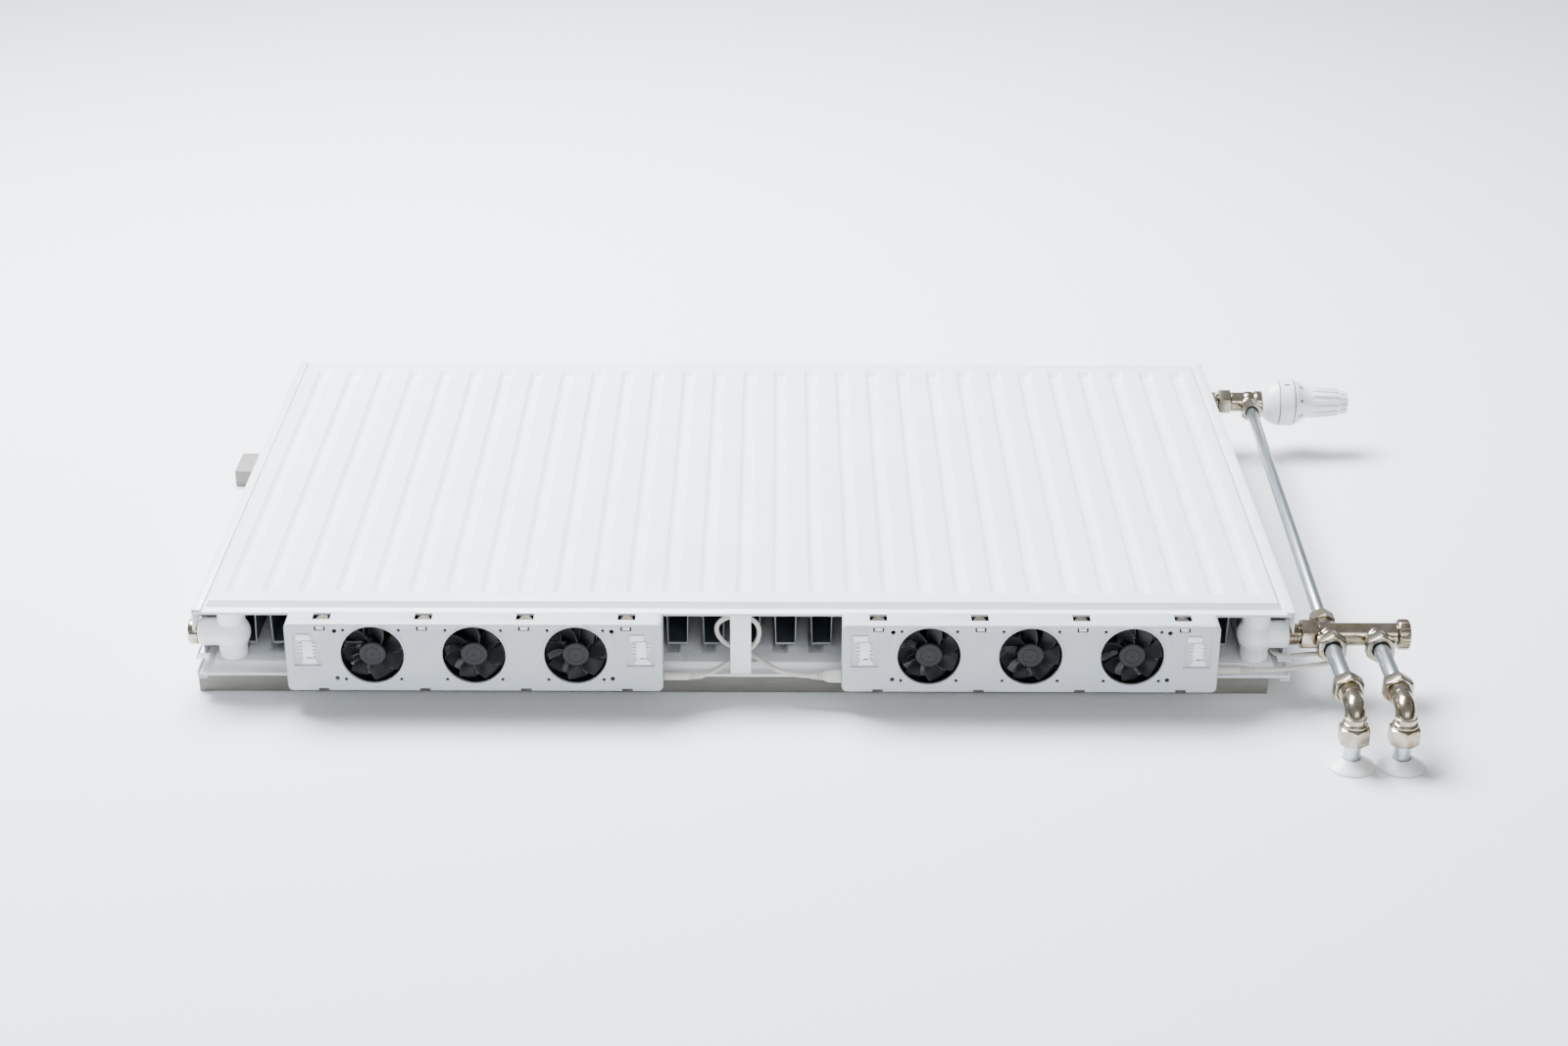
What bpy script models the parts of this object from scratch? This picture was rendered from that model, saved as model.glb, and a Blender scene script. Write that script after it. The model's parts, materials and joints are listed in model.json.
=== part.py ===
"""Panel radiator lying on two rails, with its thermostatic valve, twin-pipe block and clip-on fan modules.

Units are metres. X runs along the radiator, +Y from its bottom edge to its top edge, +Z out of its front.
The origin is at mid width, on the underside of the lower rail, on that rail's centre line.
"""

import math

import bmesh
import bpy
from mathutils import Matrix, Vector

MM = 0.001

# Overall sizes and clearances
WIDTH = 1000 * MM
HEIGHT = 600 * MM
DEPTH = 77 * MM
CLEAR = 0.3 * MM
SIDES = 14
FINE_SIDES = 20

# Rails that the radiator lies on
RAIL_HEIGHT = 18 * MM
RAIL_WIDTH = 48 * MM
RAIL_SPACING = 453.5 * MM
LOWER_RAIL_X = (-503 * MM, 484 * MM)
UPPER_RAIL_X = (-555 * MM, 435 * MM)
BOTTOM_Y = -38 * MM
TOP_Y = BOTTOM_Y + HEIGHT

# Pressed water panels
PANEL_THICK = 14.6 * MM
SHEET = 1.2 * MM
FLANGE = 9 * MM
BEVEL_RUN = 4 * MM
PITCH = 100 / 3 * MM
SLOT_TOP = 15 * MM
SLOT_BOTTOM = 8 * MM
SLOT_INSET = 31 * MM
SLOT_END_RUN = 6 * MM
REAR_FACE_Z = RAIL_HEIGHT + CLEAR
REAR_MID_Z = REAR_FACE_Z + PANEL_THICK / 2
FRONT_MID_Z = REAR_FACE_Z + DEPTH - PANEL_THICK / 2
PORT_Z = (REAR_MID_Z + FRONT_MID_Z) / 2
REAR_INNER_Z = REAR_MID_Z + PANEL_THICK / 2
FRONT_INNER_Z = FRONT_MID_Z - PANEL_THICK / 2
FLANGE_HALF = CLEAR / 2 + SHEET

# Side panels, grille, strap and lugs
SIDE_SHEET = 1.0 * MM
SHELL_HALF = WIDTH / 2 - SIDE_SHEET - CLEAR
LIP = 8.5 * MM
LIP_GAP = 1.7 * MM
GRILLE_SHEET = 1.2 * MM
GRILLE_SLOT = 48 * MM
STRAP_X = -2.5 * MM
STRAP_WIDTH = 19 * MM
STRAP_SHEET = 1.5 * MM
LUG_X = 366.7 * MM
LUG_INSET = 68 * MM
LUG_SIZE = (26 * MM, 30 * MM, 11 * MM)
LUG_SHEET = 2.5 * MM

# Convector sheet
CONVECTOR_SHEET = 0.6 * MM
CONVECTOR_INSET = 42.5 * MM
CONVECTOR_SHIFT = 5 * MM
CHANNEL_TOP = 20 * MM
CHANNEL_BOTTOM = 17.5 * MM
CHANNEL_DROP = 45 * MM

# Connection tees and threads
PORT_INSET_X = 30 * MM
PORT_INSET_Y = 25 * MM
PORT_X = WIDTH / 2 - PORT_INSET_X
PORT_FACE = WIDTH / 2
LOWER_PORT_Y = BOTTOM_Y + PORT_INSET_Y
UPPER_PORT_Y = TOP_Y - PORT_INSET_Y
BARREL_RADIUS = 13 * MM
TEE_BALL_RADIUS = 17 * MM
THREAD_RADIUS = 10.2 * MM
THREAD_LENGTH = 13 * MM
NECK_RADIUS = 8.2 * MM
SPIGOT_RADIUS = 10 * MM
BLEED_RADIUS = 2.5 * MM

# Fan modules
MODULE_LENGTH = 340 * MM
MODULE_DEPTH = 24.5 * MM
MODULE_BOTTOM_Z = 22.4 * MM
MODULE_TOP_Z = 90.6 * MM
MODULE_WALL = 2 * MM
MODULE_X = (-242.6 * MM, 259.5 * MM)
MODULE_BACK_Y = BOTTOM_Y - CLEAR
MODULE_FACE_Y = MODULE_BACK_Y - MODULE_DEPTH
FAN_PITCH = 91.7 * MM
FAN_Z = 59.4 * MM
FAN_OPENING = 28.6 * MM
FRAME_BORE = 27.9 * MM
BLADE_TIP = 27.2 * MM
HUB_RADIUS = 12.2 * MM
BLADES = 7
SOCKET_Y = MODULE_FACE_Y + 12.8 * MM
JUMPER_SOCKET_Z = 32 * MM
SUPPLY_SOCKET = (MODULE_FACE_Y + 17.8 * MM, 37 * MM)
LEAD_DIAMETER = 4.4 * MM

# Valve, block and pipes
VALVE_X = PORT_FACE + 51 * MM
HEAD_START = 65.5 * MM
PIN_RADIUS = 2.4 * MM
BLOCK_PIPE_X = (PORT_FACE + 36 * MM, PORT_FACE + 80 * MM)
BOSS_LENGTH = 17 * MM
RISER_RADIUS = 6 * MM
PIPE_RADIUS = 7.5 * MM
NUT_LENGTH = 14 * MM
ELBOW_RUN = 140 * MM
ELBOW_RADIUS = 9.2 * MM
ELBOW_ARM = 30.7 * MM
ELBOW_DROP = 16.5 * MM
ROSETTE_RADIUS = 21.6 * MM
ROSETTE_HEIGHT = 9 * MM


def clear_scene():
    for obj in list(bpy.data.objects):
        bpy.data.objects.remove(obj)


def new_collection(name):
    collection = bpy.data.collections.new(name)
    bpy.context.scene.collection.children.link(collection)
    return collection


def finish_material(name, colour, roughness, metallic=0.0):
    material = bpy.data.materials.new(name)
    material.use_nodes = True
    shader = material.node_tree.nodes["Principled BSDF"]
    shader.inputs["Base Color"].default_value = (*colour, 1)
    shader.inputs["Roughness"].default_value = roughness
    shader.inputs["Metallic"].default_value = metallic
    return material


clear_scene()
PARTS = new_collection("radiator_with_valve")
CUTTERS = new_collection("cutters")
ENAMEL = finish_material("white_enamel", (0.88, 0.89, 0.9), 0.3)
SLATE = finish_material("slate_primer", (0.05, 0.06, 0.08), 0.5)
BOARD = finish_material("painted_board", (0.5, 0.49, 0.46), 0.6)
NICKEL = finish_material("nickel_plate", (0.66, 0.6, 0.52), 0.2, 1.0)
ZINC = finish_material("zinc_plate", (0.62, 0.66, 0.7), 0.35, 1.0)
GREY_ABS = finish_material("light_grey_abs", (0.62, 0.65, 0.69), 0.45)
BLACK_PBT = finish_material("black_pbt", (0.02, 0.02, 0.025), 0.5)
WHITE_ABS = finish_material("white_abs", (0.9, 0.9, 0.9), 0.35)
IVORY_PVC = finish_material("ivory_pvc", (0.75, 0.72, 0.66), 0.5)


def add_object(name, mesh, material, cutter=False):
    """Puts a mesh in the parts, or hides it among the cutters."""
    obj = bpy.data.objects.new(name, mesh)
    (CUTTERS if cutter else PARTS).objects.link(obj)
    if material:
        mesh.materials.append(material)
    if cutter:
        obj.hide_render = True
        obj.display_type = "WIRE"
    return obj


def mesh_from(bm, name):
    mesh = bpy.data.meshes.new(name)
    bm.to_mesh(mesh)
    bm.free()
    return mesh


def block(name, low, high, material=None, cutter=False):
    """A box between two corners."""
    bm = bmesh.new()
    size = Vector(high) - Vector(low)
    centre = (Vector(high) + Vector(low)) / 2
    bmesh.ops.create_cube(bm, size=1, matrix=Matrix.Translation(centre) @ Matrix.Diagonal((*size, 1)))
    return add_object(name, mesh_from(bm, name), material, cutter)


def prism(name, start, along, length, radius, sides, material=None, cutter=False):
    """A cylinder, or a hexagon bar with six sides, that starts at a point and runs along a direction."""
    bm = bmesh.new()
    bmesh.ops.create_cone(bm, cap_ends=True, segments=sides, radius1=radius, radius2=radius,
                          depth=length, matrix=Matrix.Translation((0, 0, length / 2)))
    obj = add_object(name, mesh_from(bm, name), material, cutter)
    return place(obj, start, along)


def ball(name, centre, radius, sides, material=None, cutter=False):
    bm = bmesh.new()
    bmesh.ops.create_uvsphere(bm, u_segments=sides, v_segments=sides // 2, radius=radius)
    obj = add_object(name, mesh_from(bm, name), material, cutter)
    obj.location = centre
    return obj


def place(obj, start, along):
    """Turns an object's own Z to a direction, with its origin at the start."""
    obj.rotation_mode = "QUATERNION"
    obj.rotation_quaternion = Vector(along).to_track_quat("Z", "Y")
    obj.location = start
    return obj


def turned(name, start, along, outline, steps, material=None, cutter=False, bore=()):
    """A turned piece. Outline and bore hold (distance along the axis, radius), both in rising distance."""
    profile = [(radius, 0, distance) for distance, radius in reversed(outline)]
    if bore:
        profile += [(radius, 0, distance) for distance, radius in bore]
        edges = [(i, (i + 1) % len(profile)) for i in range(len(profile))]
    else:
        profile = [(0, 0, profile[0][2]), *profile, (0, 0, profile[-1][2])]
        edges = [(i, i + 1) for i in range(len(profile) - 1)]
    mesh = bpy.data.meshes.new(name)
    mesh.from_pydata(profile, edges, [])
    obj = add_object(name, mesh, material, cutter)
    screw = obj.modifiers.new("turn", "SCREW")
    screw.steps = screw.render_steps = steps
    screw.use_merge_vertices = True
    screw.merge_threshold = 0.00001
    screw.use_smooth_shade = False
    return place(obj, start, along)


def combine(obj, operation, *others):
    """Joins other closed shapes to an object, or cuts them out of it."""
    for other in others:
        boolean = obj.modifiers.new(f"{operation.lower()} {other.name}", "BOOLEAN")
        boolean.operation = operation
        boolean.object = other
        boolean.solver = "EXACT"
    return obj


def folded_sheet(name, section, start, stretch, thickness, material):
    """A bent sheet: an open section swept along a vector, with the sheet's thickness centred on it."""
    bm = bmesh.new()
    corners = [bm.verts.new(Vector(point) + Vector(start)) for point in section]
    edges = [bm.edges.new(pair) for pair in zip(corners, corners[1:])]
    swept = bmesh.ops.extrude_edge_only(bm, edges=edges)["geom"]
    bmesh.ops.translate(bm, vec=stretch, verts=[item for item in swept if isinstance(item, bmesh.types.BMVert)])
    bmesh.ops.recalc_face_normals(bm, faces=bm.faces)
    obj = add_object(name, mesh_from(bm, name), material)
    add_thickness(obj, thickness, 0)
    return obj


def add_thickness(obj, thickness, offset):
    solidify = obj.modifiers.new("sheet", "SOLIDIFY")
    solidify.thickness = thickness
    solidify.offset = offset
    solidify.use_even_offset = True


def add_chamfer(obj, width, segments=1):
    bevel = obj.modifiers.new("edges", "BEVEL")
    bevel.width = width
    bevel.segments = segments


def smooth_route(points, step):
    """Points a step apart on a smooth curve through the route's own points."""
    points = [Vector(point) for point in points]
    ends = [points[0] * 2 - points[1], *points, points[-1] * 2 - points[-2]]
    dense = []
    for a, b, c, d in zip(ends, ends[1:], ends[2:], ends[3:]):
        for i in range(24):
            t = i / 24
            dense.append(0.5 * (2 * b + (c - a) * t + (2 * a - 5 * b + 4 * c - d) * t * t
                                + (3 * b - a - 3 * c + d) * t ** 3))
    dense.append(points[-1])
    route, travelled = [dense[0]], 0.0
    for previous, point in zip(dense, dense[1:]):
        travelled += (point - previous).length
        if travelled >= step:
            route.append(point)
            travelled = 0.0
    if travelled < step / 2:
        route.pop()
    return [*route, dense[-1]]


def tube(name, points, diameter, material, cutter=False):
    """A round cable or pipe along points, as a welded mesh with closed ends."""
    curve = bpy.data.curves.new(name + "_path", "CURVE")
    curve.dimensions = "3D"
    curve.bevel_depth = diameter / 2
    curve.bevel_resolution = 2
    curve.use_fill_caps = True
    spline = curve.splines.new("POLY")
    spline.points.add(len(points) - 1)
    for spot, point in zip(spline.points, points):
        spot.co = (*point, 1)
    path = bpy.data.objects.new(name + "_path", curve)
    PARTS.objects.link(path)
    graph = bpy.context.evaluated_depsgraph_get()
    mesh = bpy.data.meshes.new_from_object(path.evaluated_get(graph))
    mesh.materials.clear()
    bm = bmesh.new()
    bm.from_mesh(mesh)
    bmesh.ops.remove_doubles(bm, verts=bm.verts, dist=0.00001)
    bm.to_mesh(mesh)
    bm.free()
    bpy.data.objects.remove(path)
    return add_object(name, mesh, material, cutter)


def slot_centres():
    reach = SHELL_HALF - FLANGE - BEVEL_RUN - SLOT_TOP / 2
    count = math.floor(reach / PITCH)
    return [k * PITCH for k in range(-count, count + 1)]


def pressing_height(x, y, slots):
    """How far the sheet stands off the flange at a point, from 0 on the flange to 1 on the crests."""
    inset = min(SHELL_HALF - abs(x), y - BOTTOM_Y, TOP_Y - y)
    border = (inset - FLANGE) / BEVEL_RUN
    across = (min(abs(x - slot) for slot in slots) - SLOT_BOTTOM / 2) / ((SLOT_TOP - SLOT_BOTTOM) / 2)
    along = (SLOT_INSET + SLOT_END_RUN - min(y - BOTTOM_Y, TOP_Y - y)) / SLOT_END_RUN
    return max(0.0, min(1.0, border, max(across, along)))


def split_corner_faces(bm):
    """Splits each face with one corner off its plane, from that corner, so that both halves lie flat on a slope."""
    for face in list(bm.faces):
        heights = [vertex.co.z for vertex in face.verts]
        odd = [i for i, z in enumerate(heights) if sum(abs(z - other) > CLEAR for other in heights) == 3]
        if len(odd) == 1:
            corners = list(face.verts)
            bmesh.utils.face_split(face, corners[odd[0]], corners[(odd[0] + 2) % 4])


def panel_shell(name, mid_z, side):
    """One pressed half of a water panel. Side is +1 where its crests rise towards the front."""
    slots = slot_centres()
    rim = [SHELL_HALF, SHELL_HALF - FLANGE, SHELL_HALF - FLANGE - BEVEL_RUN]
    xs = sorted([-x for x in rim] + rim + [slot + offset for slot in slots
                for offset in (-SLOT_TOP / 2, -SLOT_BOTTOM / 2, SLOT_BOTTOM / 2, SLOT_TOP / 2)])
    insets = [0, FLANGE, FLANGE + BEVEL_RUN, SLOT_INSET, SLOT_INSET + SLOT_END_RUN]
    ys = sorted([BOTTOM_Y + inset for inset in insets] + [TOP_Y - inset for inset in insets])
    rise = PANEL_THICK / 2 - SHEET - CLEAR / 2
    bm = bmesh.new()
    bmesh.ops.create_grid(bm, x_segments=len(xs) - 1, y_segments=len(ys) - 1, size=0.5)
    for vertex in bm.verts:
        x = xs[round((vertex.co.x + 0.5) * (len(xs) - 1))]
        y = ys[round((vertex.co.y + 0.5) * (len(ys) - 1))]
        vertex.co = (x, y, mid_z + side * (CLEAR / 2 + rise * pressing_height(x, y, slots)))
    split_corner_faces(bm)
    bmesh.ops.dissolve_limit(bm, angle_limit=math.radians(0.01), verts=bm.verts, edges=bm.edges)
    bmesh.ops.triangulate(bm, faces=bm.faces)
    raised = bmesh.ops.extrude_face_region(bm, geom=bm.faces, use_keep_orig=True)["geom"]
    corners = [item for item in raised if isinstance(item, bmesh.types.BMVert)]
    bmesh.ops.translate(bm, vec=(0, 0, side * SHEET), verts=corners)
    bmesh.ops.recalc_face_normals(bm, faces=bm.faces)
    return add_object(name, mesh_from(bm, name), ENAMEL)


def hanging_lugs(shell):
    """Angle lugs welded to the rear panel's crests, which wall brackets hook into."""
    width, length, height = LUG_SIZE
    crest = PITCH / 2
    for side in (-1, 1):
        for y in (BOTTOM_Y + LUG_INSET, TOP_Y - LUG_INSET - length + 24 * MM):
            x = side * (LUG_X - crest)
            foot = block("lug_foot", (x - width / 2, y, REAR_FACE_Z - LUG_SHEET + 0.6 * MM),
                         (x + width / 2, y + length, REAR_FACE_Z + 0.6 * MM), cutter=True)
            hook = block("lug_hook", (x - LUG_SHEET / 2, y, REAR_FACE_Z - height),
                         (x + LUG_SHEET / 2, y + length, REAR_FACE_Z - LUG_SHEET + 1.2 * MM), cutter=True)
            combine(shell, "UNION", foot, hook)


def convector():
    """One corrugated sheet: flanges against the front panel, channels that open towards it."""
    top = FRONT_INNER_Z - CLEAR - CONVECTOR_SHEET / 2
    low = FRONT_INNER_Z - CHANNEL_DROP
    centres = [slot + CONVECTOR_SHIFT for slot in slot_centres()[:-1]]
    section = [(centres[0] - PITCH / 2, 0, top)]
    for centre in centres:
        section += [(centre - CHANNEL_TOP / 2, 0, top), (centre - CHANNEL_BOTTOM / 2, 0, low),
                    (centre + CHANNEL_BOTTOM / 2, 0, low), (centre + CHANNEL_TOP / 2, 0, top)]
    section.append((centres[-1] + PITCH / 2, 0, top))
    length = HEIGHT - 2 * CONVECTOR_INSET
    folded_sheet("convector", section, (0, BOTTOM_Y + CONVECTOR_INSET, 0), (0, length, 0), CONVECTOR_SHEET, SLATE)


def side_panel(name, side):
    """A side cover with a lip over each flange, cut out round both ports, with a spring tab at each end."""
    web = side * (WIDTH / 2 - SIDE_SHEET / 2)
    lip = side * (WIDTH / 2 - LIP)
    front = FRONT_MID_Z + FLANGE_HALF + LIP_GAP + SIDE_SHEET / 2
    rear = REAR_MID_Z - FLANGE_HALF - LIP_GAP - SIDE_SHEET / 2
    section = [(lip, 0, front), (web, 0, front), (web, 0, rear), (lip, 0, rear)]
    panel = folded_sheet(name, section, (0, BOTTOM_Y, 0), (0, HEIGHT, 0), SIDE_SHEET, ENAMEL)
    hole = BARREL_RADIUS + 0.8 * MM
    far = side * (WIDTH / 2 + 5 * MM)
    near = side * (WIDTH / 2 - 5 * MM)
    for end, port_y in ((-1, LOWER_PORT_Y), (1, UPPER_PORT_Y)):
        edge = BOTTOM_Y - 2 * MM if end < 0 else TOP_Y + 2 * MM
        ring = prism(name + "_port", (near, port_y, PORT_Z), (side, 0, 0), 10 * MM, hole, SIDES, cutter=True)
        mouth = block(name + "_mouth", (min(near, far), min(edge, port_y), PORT_Z - hole),
                      (max(near, far), max(edge, port_y), PORT_Z + hole), cutter=True)
        low = block(name + "_low_cut", (min(near, far), min(edge, port_y - end * 8 * MM), PORT_Z - 27 * MM),
                    (max(near, far), max(edge, port_y - end * 8 * MM), PORT_Z - 16.4 * MM), cutter=True)
        combine(panel, "DIFFERENCE", ring, mouth, low)
        tab_y = sorted((edge - end * 3 * MM, edge - end * 12 * MM))
        tab = block(name + "_tab", (min(web, lip - side * 3 * MM), tab_y[0], PORT_Z - 15.9 * MM),
                    (max(web, lip - side * 3 * MM), tab_y[1], PORT_Z - 14.5 * MM), cutter=True)
        combine(panel, "UNION", tab)


def top_grille():
    """A slotted cover plate between the two panels at the top edge."""
    low = REAR_MID_Z + FLANGE_HALF + CLEAR
    high = FRONT_MID_Z - FLANGE_HALF - CLEAR
    centres = slot_centres()[::2]
    slot_edges = [centre + side * GRILLE_SLOT / 2 for centre in centres for side in (-1, 1)]
    xs = sorted([-SHELL_HALF, SHELL_HALF, *slot_edges])
    zs = [low, low + 4.5 * MM, high - 4.5 * MM, high]
    bm = bmesh.new()
    bmesh.ops.create_grid(bm, x_segments=len(xs) - 1, y_segments=len(zs) - 1, size=0.5)
    open_faces = [face for face in bm.faces if round((face.calc_center_median().x + 0.5) * (len(xs) - 1) - 0.5) % 2
                  and abs(face.calc_center_median().y) < 0.2]
    bmesh.ops.delete(bm, geom=open_faces, context="FACES")
    for vertex in bm.verts:
        x = xs[round((vertex.co.x + 0.5) * (len(xs) - 1))]
        z = zs[round((vertex.co.y + 0.5) * (len(zs) - 1))]
        vertex.co = (x, TOP_Y - 0.4 * MM, z)
    bmesh.ops.recalc_face_normals(bm, faces=bm.faces)
    grille = add_object("top_grille", mesh_from(bm, "top_grille"), ENAMEL)
    decimate = grille.modifiers.new("flat faces", "DECIMATE")
    decimate.decimate_type = "DISSOLVE"
    decimate.angle_limit = math.radians(1)
    add_thickness(grille, GRILLE_SHEET, 0)


def bottom_strap():
    """A strap that ties the two bottom flanges together."""
    front = CLEAR + STRAP_SHEET / 2
    low = REAR_MID_Z + FLANGE_HALF + CLEAR + STRAP_SHEET / 2
    high = FRONT_MID_Z - FLANGE_HALF - CLEAR - STRAP_SHEET / 2
    foot = FLANGE - 0.8 * MM
    section = [(0, foot, low), (0, front, low), (0, front, high), (0, foot, high)]
    start = (STRAP_X - STRAP_WIDTH / 2, BOTTOM_Y, 0)
    folded_sheet("bottom_strap", section, start, (STRAP_WIDTH, 0, 0), STRAP_SHEET, ENAMEL)


def rail(name, centre_y, ends):
    obj = block(name, (ends[0], centre_y - RAIL_WIDTH / 2, 0), (ends[1], centre_y + RAIL_WIDTH / 2, RAIL_HEIGHT), BOARD)
    add_chamfer(obj, 0.8 * MM)


def tee(name, side, port_y):
    """A tee that joins both panels, with its threaded port facing sideways."""
    x = side * PORT_X
    low = REAR_INNER_Z + CLEAR
    post = prism(name, (x, port_y, low), (0, 0, 1), FRONT_INNER_Z - CLEAR - low, BARREL_RADIUS, SIDES, ENAMEL)
    centre = (x, port_y, PORT_Z)
    globe = ball(name + "_ball", centre, TEE_BALL_RADIUS, SIDES, cutter=True)
    arm = prism(name + "_arm", centre, (side, 0, 0), PORT_INSET_X, BARREL_RADIUS, SIDES, cutter=True)
    thread = prism(name + "_thread", (side * PORT_FACE, port_y, PORT_Z), (-side, 0, 0), THREAD_LENGTH + 2 * MM,
                   THREAD_RADIUS + CLEAR, SIDES, cutter=True)
    thread.location.x += side * MM
    combine(post, "UNION", globe, arm)
    combine(post, "DIFFERENCE", thread)


def end_plugs():
    """The blind plug at the lower left port, and the vent plug with its bleed screw at the upper left one."""
    outline = [(-THREAD_LENGTH, THREAD_RADIUS), (CLEAR, THREAD_RADIUS), (CLEAR, 12 * MM), (7.5 * MM, 12 * MM),
               (9 * MM, 10.8 * MM)]
    socket = [(4 * MM, 6 * MM), (10 * MM, 6 * MM)]
    blind = turned("blind_plug", (-PORT_FACE, LOWER_PORT_Y, PORT_Z), (-1, 0, 0), outline, SIDES, NICKEL)
    hexagon = turned("blind_socket", (-PORT_FACE, LOWER_PORT_Y, PORT_Z), (-1, 0, 0), socket, 6, cutter=True)
    combine(blind, "DIFFERENCE", hexagon)
    vent_start = (-PORT_FACE, UPPER_PORT_Y, PORT_Z)
    vent = turned("vent_plug", vent_start, (-1, 0, 0), outline, SIDES, NICKEL)
    passage = [(-6 * MM, BLEED_RADIUS + CLEAR), (10 * MM, BLEED_RADIUS + CLEAR)]
    combine(vent, "DIFFERENCE", turned("vent_passage", vent_start, (-1, 0, 0), passage, 12, cutter=True))
    stem = [(-5.5 * MM, BLEED_RADIUS), (10.5 * MM, BLEED_RADIUS)]
    screw = turned("bleed_screw", vent_start, (-1, 0, 0), stem, 12, NICKEL)
    square = prism("bleed_square", (-PORT_FACE - 9.4 * MM, UPPER_PORT_Y, PORT_Z), (-1, 0, 0), 5 * MM, 3.5 * MM, 4,
                   cutter=True)
    combine(screw, "UNION", square)


def fan_housing(name, centre_x):
    """The moulded cover of one module: a shallow tray with three round openings, clip notches and end pockets."""
    bm = bmesh.new()
    size = (MODULE_LENGTH, MODULE_DEPTH, MODULE_TOP_Z - MODULE_BOTTOM_Z)
    centre = (centre_x, (MODULE_FACE_Y + MODULE_BACK_Y) / 2, (MODULE_TOP_Z + MODULE_BOTTOM_Z) / 2)
    bmesh.ops.create_cube(bm, size=1, matrix=Matrix.Translation(centre) @ Matrix.Diagonal((*size, 1)))
    corners = [edge for edge in bm.edges if abs((edge.verts[0].co - edge.verts[1].co).y) > MODULE_DEPTH / 2]
    bmesh.ops.bevel(bm, geom=corners, offset=5 * MM, segments=2, profile=0.5, affect="EDGES")
    face_rim = [edge for edge in bm.edges if all(abs(v.co.y - MODULE_FACE_Y) < CLEAR for v in edge.verts)]
    bmesh.ops.bevel(bm, geom=face_rim, offset=1.4 * MM, segments=1, affect="EDGES")
    back = [face for face in bm.faces if face.normal.y > 0.9]
    bmesh.ops.delete(bm, geom=back, context="FACES")
    housing = add_object(name, mesh_from(bm, name), GREY_ABS)
    add_thickness(housing, MODULE_WALL, -1)
    through = MODULE_FACE_Y - 2 * MM
    for fan in (-1, 0, 1):
        opening = prism(name + "_opening", (centre_x + fan * FAN_PITCH, through, FAN_Z), (0, 1, 0),
                        MODULE_WALL + 3 * MM, FAN_OPENING, FINE_SIDES, cutter=True)
        combine(housing, "DIFFERENCE", opening)
    for clip in (-1.5, -0.5, 0.5, 1.5):
        x = centre_x + clip * FAN_PITCH
        notch = block(name + "_notch", (x - 8 * MM, MODULE_BACK_Y - 12 * MM, MODULE_TOP_Z - 3 * MM),
                      (x + 8 * MM, MODULE_BACK_Y + MM, MODULE_TOP_Z + MM), cutter=True)
        window = block(name + "_window", (x - 4.5 * MM, through, MODULE_TOP_Z - 6 * MM),
                       (x + 4.5 * MM, MODULE_FACE_Y + 3.5 * MM, MODULE_TOP_Z - 2.5 * MM), cutter=True)
        foot = block(name + "_foot", (x - 5 * MM, through, MODULE_BOTTOM_Z - MM),
                     (x + 5 * MM, MODULE_FACE_Y + 8 * MM, MODULE_BOTTOM_Z + 3 * MM), cutter=True)
        combine(housing, "DIFFERENCE", notch, window, foot)
    for end in (-1, 1):
        x = centre_x + end * (1.5 * FAN_PITCH + 12.7 * MM)
        pocket = block(name + "_pocket", (x - 12.5 * MM, through, FAN_Z - 11.5 * MM),
                       (x + 12.5 * MM, MODULE_FACE_Y + 1.1 * MM, FAN_Z + 22 * MM), cutter=True)
        combine(housing, "DIFFERENCE", pocket)
    return housing


def add_socket(housing, x, y, z, radius):
    """A round lead socket through a housing's end wall."""
    hole = prism(housing.name + "_socket", (x - 4 * MM, y, z), (1, 0, 0), 8 * MM, radius + CLEAR, 16, cutter=True)
    combine(housing, "DIFFERENCE", hole)


def fan_tray(name, centre_x):
    """The three fan frames of one module, in one moulding: bores, motor cups and the arms that carry them."""
    front = MODULE_FACE_Y + MODULE_WALL + CLEAR
    back = front + 12 * MM
    half = FAN_PITCH + FRAME_BORE + 1.5 * MM
    low, high = FAN_Z - 29.2 * MM, MODULE_TOP_Z - MODULE_WALL - CLEAR
    tray = block(name, (centre_x - half, front, low), (centre_x + half, back, high), BLACK_PBT)
    for gap in (-0.5, 0.5):
        x = centre_x + gap * FAN_PITCH
        combine(tray, "DIFFERENCE", block(name + "_gap", (x - 11 * MM, front - MM, low + 5 * MM),
                                          (x + 11 * MM, back + MM, high - 5 * MM), cutter=True))
    for fan in (-1, 0, 1):
        x = centre_x + fan * FAN_PITCH
        bore = prism(name + "_bore", (x, front - MM, FAN_Z), (0, 1, 0), 14 * MM, FRAME_BORE, FINE_SIDES, cutter=True)
        combine(tray, "DIFFERENCE", bore)
        cup = turned(name + "_cup", (x, back, FAN_Z), (0, -1, 0), [(0, 11.5 * MM), (3.4 * MM, 11.5 * MM)], 12,
                     cutter=True, bore=[(0, 1.8 * MM), (3.4 * MM, 1.8 * MM)])
        combine(tray, "UNION", cup)
        for arm in range(3):
            angle = math.radians(90 + 120 * arm)
            strut = block(name + "_arm", (10 * MM, -1.8 * MM, -1.6 * MM), (FRAME_BORE + MM, 1.8 * MM, 0), cutter=True)
            place(strut, (x, back, FAN_Z), (0, 1, 0))
            strut.rotation_quaternion = strut.rotation_quaternion @ Matrix.Rotation(angle, 3, "Z").to_quaternion()
            combine(tray, "UNION", strut)


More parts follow.
